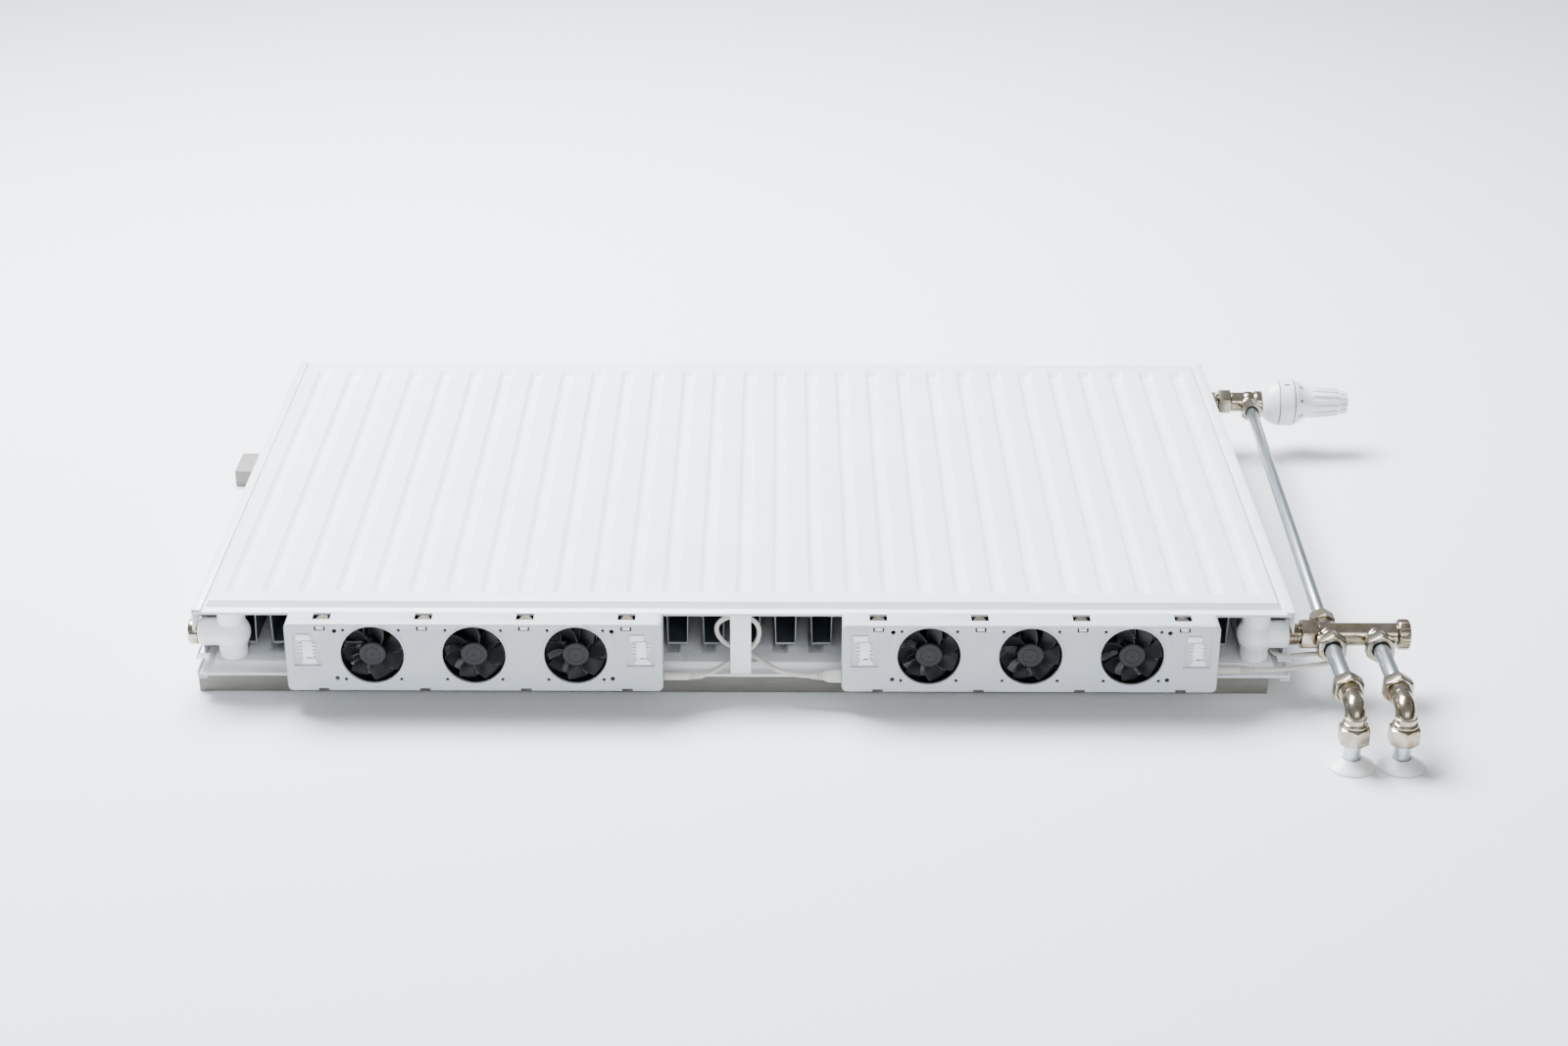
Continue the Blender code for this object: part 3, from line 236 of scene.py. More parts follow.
# ABS of the head, rosettes, latches and adapter: clean white, half gloss.
WHITE_ABS = (moulded("white_abs", "#EDEEEE", "#F2F2F2", 0.28, 1.2, 0.02), "white_abs")
# Soft PVC of the leads and their plugs: ivory, with a waxy sheen.
IVORY_PVC = (moulded("ivory_pvc", "#C0BDB3", "#CAC7BF", 0.42, 1.0, 0.03), "ivory_pvc")
# Dark rubber in the joints and the printed marks of the white head: dull dark grey.
DARK_RUBBER = (moulded("dark_grey_rubber", "#4B4E50", "#575A5C", 0.6, 1.0, 0.03), "white_abs")

SLOT_MATERIALS = {slot: material for material, slot in (
    ENAMEL, SLATE, BOARD, NICKEL, ZINC_Y, GREY_ABS, BLACK_PBT, WHITE_ABS, IVORY_PVC)}


# Modelling ---------------------------------------------------------------------------------------


def deselect_all():
    for obj in list(bpy.context.selected_objects):
        obj.select_set(False)


def pick(*objects):
    """Selects these objects only, with the first one active."""
    deselect_all()
    for obj in objects:
        obj.select_set(True)
    bpy.context.view_layer.objects.active = objects[0]


def apply_modifiers(obj):
    pick(obj)
    for modifier in list(obj.modifiers):
        bpy.ops.object.modifier_apply(modifier=modifier.name)
    return obj


def settle(obj):
    """Puts an object's place, turn and size in its mesh."""
    pick(obj)
    bpy.ops.object.transform_apply(location=True, rotation=True, scale=True)
    return obj


def soften(obj, width, segments=2, degrees=30):
    """Rounds the sharp edges of a piece."""
    bevel = obj.modifiers.new("rounded edges", "BEVEL")
    bevel.width = width
    bevel.segments = segments
    bevel.limit_method = "ANGLE"
    bevel.angle_limit = math.radians(degrees)
    return apply_modifiers(obj)


def cut(obj, *cutters, operation="DIFFERENCE"):
    """Cuts closed shapes that don't meet each other out of a piece, or joins them to it."""
    for cutter in cutters:
        settle(cutter)
    pick(*cutters)
    if len(cutters) > 1:
        bpy.ops.object.join()
    tool = bpy.context.view_layer.objects.active
    settle(obj)
    boolean = obj.modifiers.new("cut", "BOOLEAN")
    boolean.operation = operation
    boolean.object = tool
    boolean.solver = "EXACT"
    apply_modifiers(obj)
    bpy.data.objects.remove(tool)
    return obj


def join(*objects):
    """Makes one mesh of several objects, under the first one's name."""
    for obj in objects:
        settle(obj)
    pick(*objects)
    bpy.ops.object.join()
    return bpy.context.view_layer.objects.active


def copy_of(obj):
    """A copy with its own mesh."""
    twin = bpy.data.objects.new(obj.name, obj.data.copy())
    bpy.context.scene.collection.objects.link(twin)
    return twin


def finished(obj, name, finish, body=BODY, replaces=(), degrees=35):
    """Gives a piece its name, finish and shading, and lets it ride on its body."""
    material, slot = finish
    settle(obj)
    bpy.ops.object.shade_smooth_by_angle(angle=math.radians(degrees))
    obj.data.materials.clear()
    obj.data.materials.append(material)
    obj.name = name
    obj.data.name = name
    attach(obj, body)
    if replaces:
        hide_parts(*replaces)
    return obj


def block(low, high):
    """A box between two corners."""
    low, high = Vector(low), Vector(high)
    deselect_all()
    bpy.ops.mesh.primitive_cube_add(size=1, location=(low + high) / 2)
    obj = bpy.context.object
    obj.scale = high - low
    return settle(obj)


def bar(x, half, ys, zs):
    """A box that reaches half to each side of x, between two Ys and two Zs."""
    return block((x - half, ys[0], zs[0]), (x + half, ys[1], zs[1]))


def ball(centre, radius):
    deselect_all()
    bpy.ops.mesh.primitive_uv_sphere_add(segments=40, ring_count=24, radius=radius, location=centre)
    return bpy.context.object


def ring_of(piece, count, start, offset=0.0, seat=Matrix()):
    """The piece, laid on its seat, and copies of it, spaced evenly about the X line through start."""
    pieces = [piece, *[copy_of(piece) for _ in range(count - 1)]]
    for step, item in enumerate(pieces):
        turn = Matrix.Rotation(offset + step * math.tau / count, 4, "X")
        item.data.transform(Matrix.Translation(start) @ turn @ seat)
    return pieces


def aim(obj, start, along):
    """Turns an object's own Z to a direction, with its origin at the start."""
    obj.rotation_mode = "QUATERNION"
    obj.rotation_quaternion = Vector(along).to_track_quat("Z", "Y")
    obj.location = start
    return settle(obj)


def rod(start, along, length, radius, sides=ROUND):
    """A closed cylinder, or a hexagon bar with six sides."""
    deselect_all()
    bpy.ops.mesh.primitive_cylinder_add(vertices=sides, radius=radius, depth=length,
                                        location=(0, 0, length / 2))
    return aim(settle(bpy.context.object), start, along)


def turned(start, along, outline, sides=ROUND, hollow=False):
    """A turned piece. Its outline holds (distance, radius) in millimetres, as a closed loop if hollow."""
    outline = [(distance * MM, radius * MM) for distance, radius in outline]
    deselect_all()
    distance, radius = outline[0]
    bpy.ops.mesh.primitive_circle_add(vertices=sides, radius=radius, location=(0, 0, distance),
                                      fill_type="NOTHING" if hollow else "NGON")
    obj = settle(bpy.context.object)
    bpy.ops.object.mode_set(mode="EDIT")
    bpy.ops.mesh.select_mode(type="VERT")
    bpy.ops.mesh.select_all(action="SELECT")
    for (near, small), (far, large) in zip(outline, outline[1:]):
        # The operator drops a step of no length.
        bpy.ops.mesh.extrude_region_move(TRANSFORM_OT_translate={"value": (0, 0, far - near or 0.0001 * MM)})
        if large != small:
            ratio = large / small
            bpy.ops.transform.resize(value=(ratio, ratio, 1), center_override=(0, 0, far))
    bpy.ops.mesh.select_all(action="SELECT")
    bpy.ops.mesh.remove_doubles(threshold=0.001 * MM)
    bpy.ops.mesh.normals_make_consistent(inside=False)
    bpy.ops.object.mode_set(mode="OBJECT")
    return aim(obj, start, along)


def select_where(obj, kind, test):
    """In edit mode, selects the faces or edges whose corners pass a test."""
    bpy.ops.mesh.select_mode(type=kind)
    bpy.ops.mesh.select_all(action="DESELECT")
    bpy.ops.object.mode_set(mode="OBJECT")
    mesh = obj.data
    for item in mesh.polygons if kind == "FACE" else mesh.edges:
        item.select = test([mesh.vertices[i].co for i in item.vertices])
    bpy.ops.object.mode_set(mode="EDIT")


def refined(node, name, finish, radius, segments=2, rim=0.0):
    """A copy of a node with its folds rounded. Folds within rim of its outline stay sharp."""
    obj = copy_of(frame["nodes"][node])
    pick(obj)
    bpy.ops.object.mode_set(mode="EDIT")
    bpy.ops.mesh.select_all(action="SELECT")
    bpy.ops.mesh.customdata_custom_splitnormals_clear()
    bpy.ops.mesh.remove_doubles(threshold=0.002 * MM)
    bpy.ops.mesh.tris_convert_to_quads(face_threshold=math.radians(0.5), shape_threshold=math.radians(80))
    bpy.ops.mesh.select_all(action="DESELECT")
    bpy.ops.mesh.select_mode(type="EDGE")
    bpy.ops.mesh.edges_select_sharp(sharpness=math.radians(20))
    bpy.ops.object.mode_set(mode="OBJECT")
    low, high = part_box(node)
    for edge in obj.data.edges:
        ends = [obj.data.vertices[i].co for i in edge.vertices]
        x, y = ((ends[0] + ends[1]) / 2).xy
        if min(x - low.x, high.x - x, y - low.y, high.y - y) <= rim:
            edge.select = False
    bpy.ops.object.mode_set(mode="EDIT")
    bpy.ops.mesh.bevel(offset=radius, segments=segments, affect="EDGES", clamp_overlap=True)
    bpy.ops.object.mode_set(mode="OBJECT")
    return finished(obj, name, finish, replaces=(node,))


# The radiator itself -----------------------------------------------------------------------------


def water_panels():
    """The four pressed half shells, with the folds that the press leaves."""
    rim = 4 * MM
    refined("front_outer_shell", "front_pressing", ENAMEL, 1.1 * MM, 3, rim)
    refined("front_inner_shell", "front_back_sheet", ENAMEL, 0.8 * MM, rim=rim)
    refined("rear_inner_shell", "rear_front_sheet", ENAMEL, 0.8 * MM, rim=rim)
    refined("rear_outer_shell", "rear_pressing", ENAMEL, 0.8 * MM, rim=rim)


def covers():
    """The convector, side covers, grille and strap, and the rails that the radiator lies on."""
    refined("convector", "convector_sheet", SLATE, 2.2 * MM, 3)
    for side in ("left", "right"):
        refined(f"side_panel_{side}", f"side_cover_{side}", ENAMEL, 0.25 * MM)
    refined("top_grille", "outlet_grille", ENAMEL, 0.3 * MM)
    refined("bottom_strap", "tie_strap", ENAMEL, 0.6 * MM)
    for height in ("lower", "upper"):
        refined(f"{height}_rail", f"rail_{height}", BOARD, 0.4 * MM)


def cast_look(obj, voxel, rounds):
    """Melts joined shapes into one casting with soft inside corners, in voxels of a given size."""
    remesh = obj.modifiers.new("one skin", "REMESH")
    remesh.mode = "VOXEL"
    remesh.voxel_size = voxel
    smooth = obj.modifiers.new("soft corners", "SMOOTH")
    smooth.iterations = rounds
    return apply_modifiers(obj)


def port_tee(node, name, side):
    """A welded tee between the two water panels, with a swollen middle and a side barrel."""
    low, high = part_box(node)
    centre = Vector((side * (PORT_FACE - 30 * MM), (low.y + high.y) / 2, PORT_Z))
    post = rod((centre.x, centre.y, low.z), Z_AXIS, high.z - low.z, 12.9 * MM)
    cut(post, ball(centre, 16.9 * MM), operation="UNION")
    cut(post, turned(centre, side * X_AXIS, [(0, 12.9), (27, 12.9), (30, 12.4)]), operation="UNION")
    cut(post, rod(centre + side * 17 * MM * X_AXIS, side * X_AXIS, 20 * MM, 10.4 * MM))
    cast_look(post, 0.9 * MM, 6)
    return finished(post, name, ENAMEL, replaces=(node,), degrees=60)


def thread_rings(start, end, crest, pitch=1.8, depth=0.9):
    """An outline of thread crests between two distances, in millimetres."""
    count = round((end - start) / pitch)
    step = (end - start) / count
    outline = []
    for ring in range(count):
        near = start + ring * step
        outline += [(near, crest - depth), (near + step * 0.4, crest), (near + step * 0.6, crest)]
    return [*outline, (end, crest - depth)]


def end_plugs():
    """The blind plug and the vent plug on the left, with the bleed screw."""
    outline = [(-10, 10.1), (0.3, 10.1), (0.3, 11.9), (7.5, 11.9), (9, 10.7)]
    blind_start = Vector((-PORT_FACE, LOWER_PORT_Y, PORT_Z))
    blind = turned(blind_start, -X_AXIS, outline)
    cut(blind, rod(blind_start - 4 * MM * X_AXIS, -X_AXIS, 8 * MM, 6 * MM, 6))
    finished(soften(blind, 0.25 * MM), "blind_plug_turned", NICKEL, replaces=("blind_plug",))
    start = Vector((-PORT_FACE, UPPER_PORT_Y, PORT_Z))
    vent = turned(start, -X_AXIS, outline)
    cut(vent, rod(start + 6 * MM * X_AXIS, -X_AXIS, 18 * MM, 2.8 * MM, 24))
    finished(soften(vent, 0.25 * MM), "vent_plug_turned", NICKEL, replaces=("vent_plug",))
    screw = turned(start, -X_AXIS, [(-5.5, 2.45), (10.3, 2.45)], 24)
    cut(screw, rod(start - 9.4 * MM * X_AXIS, -X_AXIS, 4.9 * MM, 3.4 * MM, 4), operation="UNION")
    soften(screw, 0.2 * MM)
    finished(screw, "bleed_screw_square", NICKEL, "bleed_screw", ("bleed_screw",))


# Fan modules -------------------------------------------------------------------------------------


def clip_places(centre_x):
    return [centre_x + step * FAN_PITCH for step in (-1.5, -0.5, 0.5, 1.5)]


def fan_places(centre_x):
    return [centre_x + step * FAN_PITCH for step in (-1, 0, 1)]


def pocket_places(centre_x):
    return [centre_x + end * (1.5 * FAN_PITCH + 12.7 * MM) for end in (-1, 1)]


def module_cover(side, centre_x, low, high):
    """The grey moulded tray: fan openings, screw holes, clip notches and windows, and two end pockets."""
    face, back = low.y, high.y
    cover = block(low, high)
    bpy.ops.object.mode_set(mode="EDIT")
    select_where(cover, "EDGE", lambda ends: abs((ends[0] - ends[1]).y) > 0.5 * (back - face))
    bpy.ops.mesh.bevel(offset=5 * MM, segments=5, affect="EDGES")
    select_where(cover, "EDGE", lambda ends: all(abs(end.y - face) < 0.1 * MM for end in ends))
    bpy.ops.mesh.bevel(offset=1.5 * MM, segments=3, affect="EDGES")
    select_where(cover, "FACE", lambda corners: all(abs(corner.y - back) < 0.1 * MM for corner in corners))
    bpy.ops.mesh.delete(type="FACE")
    bpy.ops.object.mode_set(mode="OBJECT")
    wall = cover.modifiers.new("wall", "SOLIDIFY")
    wall.thickness = 2 * MM
    wall.offset = -1
    wall.use_even_offset = True
    apply_modifiers(cover)
    before, through = face - 2 * MM, 5 * MM
    cutters = [rod((x, before, FAN_Z), Y_AXIS, through, 28.6 * MM, 72) for x in fan_places(centre_x)]
    holes = [(x + sx * 25 * MM, FAN_Z + sz * 25 * MM, 1.6 * MM)
             for x in fan_places(centre_x) for sx, sz in CORNERS]
    holes += [(centre_x + sx * (FAN_PITCH + 32.8 * MM), FAN_Z + sz * 24 * MM, 2.2 * MM) for sx, sz in CORNERS]
    cutters += [rod((x, before, z), Y_AXIS, through, radius, 16) for x, z, radius in holes]
    for x in clip_places(centre_x):
        cutters += [bar(x, 8 * MM, (back - 15 * MM, back + MM), (high.z - 3 * MM, high.z + MM)),
                    bar(x, 5 * MM, (before, face + 3.4 * MM), (high.z - 6.6 * MM, high.z - 2.4 * MM)),
                    bar(x, 5 * MM, (before, face + 8 * MM), (low.z - MM, low.z + 3 * MM))]
    cutters += [bar(x, 12.5 * MM, (before, face + POCKET_DEPTH), (FAN_Z - 11.5 * MM, FAN_Z + 22 * MM))
                for x in pocket_places(centre_x)]
    cut(cover, *cutters)
    sockets = {"left": [(high.x, *JUMPER_SOCKET)],
               "right": [(low.x, *JUMPER_SOCKET), (high.x, *SUPPLY_SOCKET)]}[side]
    cut(cover, *[rod((x - 4 * MM, face + deep, z), X_AXIS, 8 * MM, 3.3 * MM, 24) for x, deep, z in sockets])
    soften(cover, 0.22 * MM, 2, 40)
    finished(cover, f"module_cover_{side}", GREY_ABS, replaces=(f"fan_housing_{side}",),
             degrees=30)


def opening_ring():
    """The raised round lip of one fan opening, facing along +Z from its origin."""
    return turned((0, 0, 0), Z_AXIS, [(-0.2, 28.65), (0.5, 28.75), (0.75, 29.2), (0.75, 29.7), (0.3, 30.8),
                                      (-0.2, 30.9), (-0.2, 28.65)], 96, hollow=True)


def fan_frame():
    """One square fan frame with its bore, motor cup, arms and a flared mouth, facing along +Z."""
    half, depth = 29.2 * MM, 12 * MM
    square = block((-half, -half, -depth), (half, half, 0))
    cut(square, turned((0, 0, -depth - MM), Z_AXIS, [(0, 27.9), (10.8, 27.9), (13, 28.4), (14, 28.4)], 72))
    for arm in range(3):
        strut = block((10 * MM, -1.8 * MM, -depth), (28.6 * MM, 1.8 * MM, -depth + 1.6 * MM))
        strut.rotation_euler.z = math.radians(90 + 120 * arm)
        cut(square, strut, operation="UNION")
    cup = [(0, 11.5), (3.2, 11.5), (3.2, 1.8), (0, 1.8), (0, 11.5)]
    cut(square, turned((0, 0, -depth), Z_AXIS, cup, 40, hollow=True), operation="UNION")
    return soften(square, 0.25 * MM, 1, 40)


def fan_rotor():
    """A moulded rotor facing along +Z: a hub with a rounded edge and a shallow ring, and twisted blades."""
    outline = [(0, 12.2), (7.2, 12.2), (8.2, 11.9), (8.7, 11.2), (8.8, 10.2), (8.8, 7.4), (8.55, 7.2),
               (8.55, 6.8), (8.8, 6.6), (8.8, 1.6), (8.5, 1.4)]
    hub = turned((0, 0, -8.8 * MM), Z_AXIS, outline, 64)
    deselect_all()
    bpy.ops.mesh.primitive_grid_add(x_subdivisions=8, y_subdivisions=10, size=1)
    blade = settle(bpy.context.object)
    root, tip = 11.6 * MM, 27.2 * MM
    for vertex in blade.data.vertices:
        out, across = vertex.co.x + 0.5, vertex.co.y * 2
        radius = root + (tip - root) * out
        half = math.radians(19.5 - 1.5 * out)
        angle = across * half + math.radians(16) * out ** 1.4
        lift = across * (4.1 - 0.6 * out) * MM + 0.9 * MM * (1 - across * across) * (1 - 0.4 * out)
        vertex.co = (radius * math.cos(angle), radius * math.sin(angle), -5.2 * MM - lift)
    wall = blade.modifiers.new("wall", "SOLIDIFY")
    wall.thickness = 1.0 * MM
    wall.offset = 0
    apply_modifiers(blade)
    soften(blade, 0.25 * MM, 2, 50)
    blades = [blade]
    for step in range(1, BLADES):
        twin = copy_of(blade)
        twin.rotation_euler.z = step * math.tau / BLADES
        blades.append(twin)
    return cut(hub, *blades, operation="UNION")


def pocket_latch(x, face):
    """A plain moulded latch in an end pocket: a bar, a ribbed slide and a half-round thumb pad."""
    proud, buried = face + 0.15 * MM, face + POCKET_DEPTH + 0.3 * MM
    pieces = [block((x - 9.5 * MM, proud, FAN_Z + 14.5 * MM), (x + 3.5 * MM, buried, FAN_Z + 20 * MM)),
              block((x - 4 * MM, proud, FAN_Z - 4 * MM), (x + 5 * MM, buried, FAN_Z + 13.6 * MM))]
    for rib in range(4):
        z = FAN_Z - 1 * MM + rib * 3.6 * MM
        pieces.append(block((x - 7 * MM, proud + 0.3 * MM, z), (x + 8 * MM, buried, z + 1.2 * MM)))
    pad = rod((x + 1.5 * MM, proud, FAN_Z - 9.6 * MM), Y_AXIS, buried - proud, 7.2 * MM, 40)
    cut(pad, block((x - 10 * MM, face - MM, FAN_Z - 18 * MM), (x + 12 * MM, buried + MM, FAN_Z - 9.4 * MM)))
    pieces.append(pad)
    for piece in pieces:
        soften(piece, 0.25 * MM, 2)
    return join(*pieces)


def fan_module(side, first, ring, square, rotor):
    """One module: its cover with lips, magnets, tongues and latches, and three fans numbered from first."""
    low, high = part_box(f"fan_housing_{side}")
    centre_x, face = (low.x + high.x) / 2, low.y
    module_cover(side, centre_x, low, high)
    tray, rings, magnets, tongues = f"fan_tray_{side}", [], [], []
    for number, x in enumerate(fan_places(centre_x), first):
        rings.append(aim(copy_of(ring), (x, face, FAN_Z), -Y_AXIS))
        held = aim(copy_of(square), (x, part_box(tray)[0].y, FAN_Z), -Y_AXIS)
        # The three frames of a module are one node, and the middle one replaces it.
        replaced = (tray,) if number == first + 1 else ()
        finished(held, f"fan_frame_{number}", BLACK_PBT, replaces=replaced)
        node = f"fan_rotor_{number}"
        spun = copy_of(rotor)
        spun.rotation_euler.z = math.radians(17 * number)
        aim(settle(spun), (x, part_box(node)[0].y, FAN_Z), -Y_AXIS)
        finished(spun, f"rotor_{number}", BLACK_PBT, node, (node,), 30)
    finished(join(*rings), f"opening_lips_{side}", GREY_ABS)
    for x in clip_places(centre_x):
        seat = (x, high.y - 6.6 * MM, high.z - 5.4 * MM)
        magnets.append(turned(seat, Z_AXIS, [(0, 5.6), (2, 5.6), (2.4, 5.2)], 32))
        tongue = bar(x, 3.4 * MM, (face + 0.3 * MM, face + 2.6 * MM), (high.z - 5.6 * MM, high.z - 3.2 * MM))
        tongues.append(soften(tongue, 0.3 * MM))
    finished(join(*magnets), f"holding_magnets_{side}", NICKEL)
    finished(join(*tongues), f"clip_tongues_{side}", WHITE_ABS)
    latches = [pocket_latch(x, face) for x in pocket_places(centre_x)]
    finished(join(*latches), f"pocket_latches_{side}", WHITE_ABS)


def fan_modules():
    """Both modules, with the ring, frame and rotor modelled once and copied to each fan."""
    ring, square, rotor = opening_ring(), fan_frame(), fan_rotor()
    for side, first in (("left", 1), ("right", 4)):
        fan_module(side, first, ring, square, rotor)
    for master in (ring, square, rotor):
        bpy.data.objects.remove(master)


# Leads -------------------------------------------------------------------------------------------

# Both routes are in millimetres, with Y from the radiator's bottom edge.
JUMPER_ROUTE = (
    (-46, -11.8, 32), (-38, -11.4, 32), (-30, -8.3, 32.6), (-23, -2.2, 34), (-16, 3.8, 35.9),
    (-8, 6.4, 39.8), (1, 7, 45.5), (8.5, 7.2, 52), (13.2, 7.2, 60), (14.2, 7.3, 69), (11, 7.6, 76.5),
    (4, 8, 81), (-5, 8.4, 82.2), (-14.5, 9, 80.6), (-22, 10, 75.6), (-24.6, 10.8, 68.5), (-22.5, 11.6, 60),
    (-16, 12.3, 52.5), (-7, 12.6, 47), (2, 12, 43.6), (10.5, 8.5, 41), (19, 2, 38.4), (28, -4.8, 36),
    (39, -9.6, 33.8), (53, -11.6, 32.4), (68, -11.8, 32),
)
SUPPLY_ROUTE = (
    (465.3, -7, 37), (476, -7.2, 36.8), (488, -6.6, 37), (500, -4.6, 37.4), (511, -1.6, 37.6),
    (522, 1.2, 37.6), (531, 3.2, 37.6), (537.6, 6.6, 37.6), (540.8, 12.6, 37.6), (538.6, 19, 37.4),
    (532, 23, 37.2), (523, 23.6, 37), (512, 21.6, 36.8), (502.5, 20.2, 36.4), (494.5, 23, 35.7),
    (489, 29.5, 35.4), (486.8, 39, 35.4), (483, 58, 35.4), (474, 100, 35.4), (467, 170, 35.4),
    (471, 250, 35.4), (466, 330, 35.4), (472, 410, 35.4), (469, 480, 35.4), (480, 535, 35.4),
    (486, 562, 35.4), (487, 585, 35.4), (487.2, 600, 34.8), (487.2, 611, 30.5), (487, 619.5, 21),
    (486.4, 626.5, 11), (485, 636, 4.2), (481.8, 650, 2.6), (479.4, 660, 2.6), (479, 667.4, 2.6),
)


def route_points(route):
    return [Vector((x * MM, BOTTOM_Y + y * MM, z * MM)) for x, y, z in route]


def smooth_route(points, step):
    """Points a step apart on a smooth curve through the route's own points."""
    ends = [points[0] * 2 - points[1], *points, points[-1] * 2 - points[-2]]
    dense = []
    for a, b, c, d in zip(ends, ends[1:], ends[2:], ends[3:]):
        for i in range(24):
            t = i / 24
            dense.append(0.5 * (2 * b + (c - a) * t + (2 * a - 5 * b + 4 * c - d) * t * t
                                + (3 * b - a - 3 * c + d) * t ** 3))
    dense.append(points[-1])
    route, travelled = [dense[0]], 0.0
    for previous, point in zip(dense, dense[1:]):
        travelled += (point - previous).length
        if travelled >= step:
            route.append(point)
            travelled = 0.0
    return [*route, dense[-1]]


def lead_curve(name, points):
    """A round lead along points, as a curve of one open spline."""
    curve = bpy.data.curves.new(name, "CURVE")
    curve.dimensions = "3D"
    curve.bevel_depth = LEAD_DIAMETER / 2
    curve.bevel_resolution = 4
    curve.use_fill_caps = True
    spline = curve.splines.new("POLY")
    spline.points.add(len(points) - 1)
    for spot, point in zip(spline.points, points):
        spot.co = (*point, 1)
    spline.use_smooth = True
    curve.materials.append(IVORY_PVC[0])
    obj = bpy.data.objects.new(name, curve)
    bpy.context.scene.collection.objects.link(obj)
    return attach(obj, BODY)


def ribbed_relief(start, end, root, crest, count):
    """An outline of flexible ribs that shrink towards the lead."""
    step = (end - start) / count
    outline = []
    for rib in range(count):
        at = start + rib * step
        edge = crest + (root - crest) * rib / count
        outline += [(at, root), (at + 0.1 * step, edge), (at + 0.6 * step, edge), (at + 0.7 * step, root)]
    return outline


def moulded_plug(start, along, outline, name, replaces=()):
    """A moulded-on plug with its ribbed relief."""
    plug = soften(turned(start, along, outline, 40), 0.15 * MM, 1)
    return finished(plug, name, IVORY_PVC, replaces=replaces, degrees=50)


def jumper():
    """The lead between the modules, with a straight plug on the left and a hooded one on the right."""
    lead_curve("jumper_cable", smooth_route(route_points(JUMPER_ROUTE), 3 * MM))
    left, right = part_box("fan_housing_left"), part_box("fan_housing_right")
    deep, z = JUMPER_SOCKET
    y = left[0].y + deep
    straight = [(-2.5, 3), (0.3, 3), (0.3, 4), (1, 4.3), (22, 4.15), (24, 3.3),
                *ribbed_relief(24.5, 36, 2.5, 3.9, 5), (36, 2.5)]
    moulded_plug((left[1].x, y, z), X_AXIS, straight, "jumper_plug_straight", ("jumper_lead",))
    hooded = [(-2.5, 3), (0.3, 3), (0.3, 5.8), (1, 6.2), (12, 6), (15, 4.6), (18, 3.4),
              *ribbed_relief(18.5, 29, 2.5, 4.1, 4), (29, 2.5)]
    moulded_plug((right[0].x, y, z), -X_AXIS, hooded, "jumper_plug_hooded")


def coil_points(centre):
    """Three turns side by side, then two more on top of them, wound from outside in and out again."""
    pitch, outer, low, high = 4.6 * MM, 28.6 * MM, 2.4 * MM, 6.9 * MM
    inner = outer - 2 * pitch
    # Each stop is an angle in degrees, a radius and a height.
    stops = [(-43, 33 * MM, low + 0.2 * MM), (0, outer, low), (300, outer, low), (360, outer - pitch, low),
             (660, outer - pitch, low), (720, inner, low), (900, inner, low), (1010, inner, high),
             (1170, inner, high), (1440, inner + pitch, high), (1530, inner + pitch, high)]
    points = []
    for degrees in range(-36, 1531, 9):
        (a, r0, z0), (b, r1, z1) = next(pair for pair in zip(stops, stops[1:]) if degrees <= pair[1][0])
        t = (degrees - a) / (b - a)
        t = t * t * (3 - 2 * t)
        radius, z, angle = r0 + (r1 - r0) * t, z0 + (z1 - z0) * t, math.radians(degrees)
        points.append(centre + Vector((radius * math.cos(angle), radius * math.sin(angle), z)))
    return points


def supply_lead():
    """The supply lead, from its plug through the radiator to the floor, its coil and the adapter."""
    low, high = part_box("supply_coil")
    centre = Vector(((low.x + high.x) / 2, (low.y + high.y) / 2, 0))
    tip = Vector((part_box("power_adapter")[1].x, centre.y + 24 * MM, ADAPTER_LEAD_Z))
    line = smooth_route(route_points(SUPPLY_ROUTE), 4 * MM) + coil_points(centre)
    line += [tip + 12 * MM * X_AXIS, tip, tip - 24 * MM * X_AXIS]
    cable = lead_curve("supply_lead", line)
    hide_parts("supply_cable", "supply_coil")
    module_low, module_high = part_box("fan_housing_right")
    deep, z = SUPPLY_SOCKET
    outline = [(-2.5, 3), (0.3, 3), (0.3, 3.9), (1, 4.2), (22, 4), (24, 3.2),
               *ribbed_relief(24.5, 35.4, 2.4, 3.8, 5), (35.4, 2.4)]
    plug = moulded_plug((module_high.x, module_low.y + deep, z), X_AXIS, outline, "supply_plug_moulded",
                        ("supply_plug",))
    adapter = power_adapter()


def power_adapter():
    """The plug-in supply: a rounded two-part case with a seam, two pins and a ribbed relief."""
    low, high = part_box("power_adapter")
    case_low = Vector((low.x + 19 * MM, low.y, low.z))
    case_high = Vector((case_low.x + 62 * MM, high.y, high.z))
    seam, y = case_low.z + 14 * MM, (low.y + high.y) / 2
    halves = [block(case_low, (case_high.x, case_high.y, seam - 0.3 * MM)),
              block((case_low.x, case_low.y, seam + 0.3 * MM), case_high)]
    for half in halves:
        soften(half, 2.6 * MM, 4)
    inset = Vector((1, 1, 1)) * 1.2 * MM
    core = soften(block(case_low + inset, case_high - inset), 2 * MM, 3)
    case = finished(join(*halves, core), "adapter_case", WHITE_ABS, replaces=("power_adapter",))
    pin = [(0, 2.2), (18, 2.2), (20, 1.4)]
    pins = [turned((case_low.x + MM, y + side * 9.5 * MM, seam), -X_AXIS, pin, 24) for side in (-1, 1)]
    pins = finished(join(*pins), "adapter_pins", NICKEL)
    outline = [(-1, 4), (2, 3.9), *ribbed_relief(3, 22.6, 2.5, 3.6, 7), (22.8, 2.5)]
    relief = turned((case_high.x, y, ADAPTER_LEAD_Z), X_AXIS, outline, 32)
    return case, pins, finished(relief, "adapter_relief", WHITE_ABS)


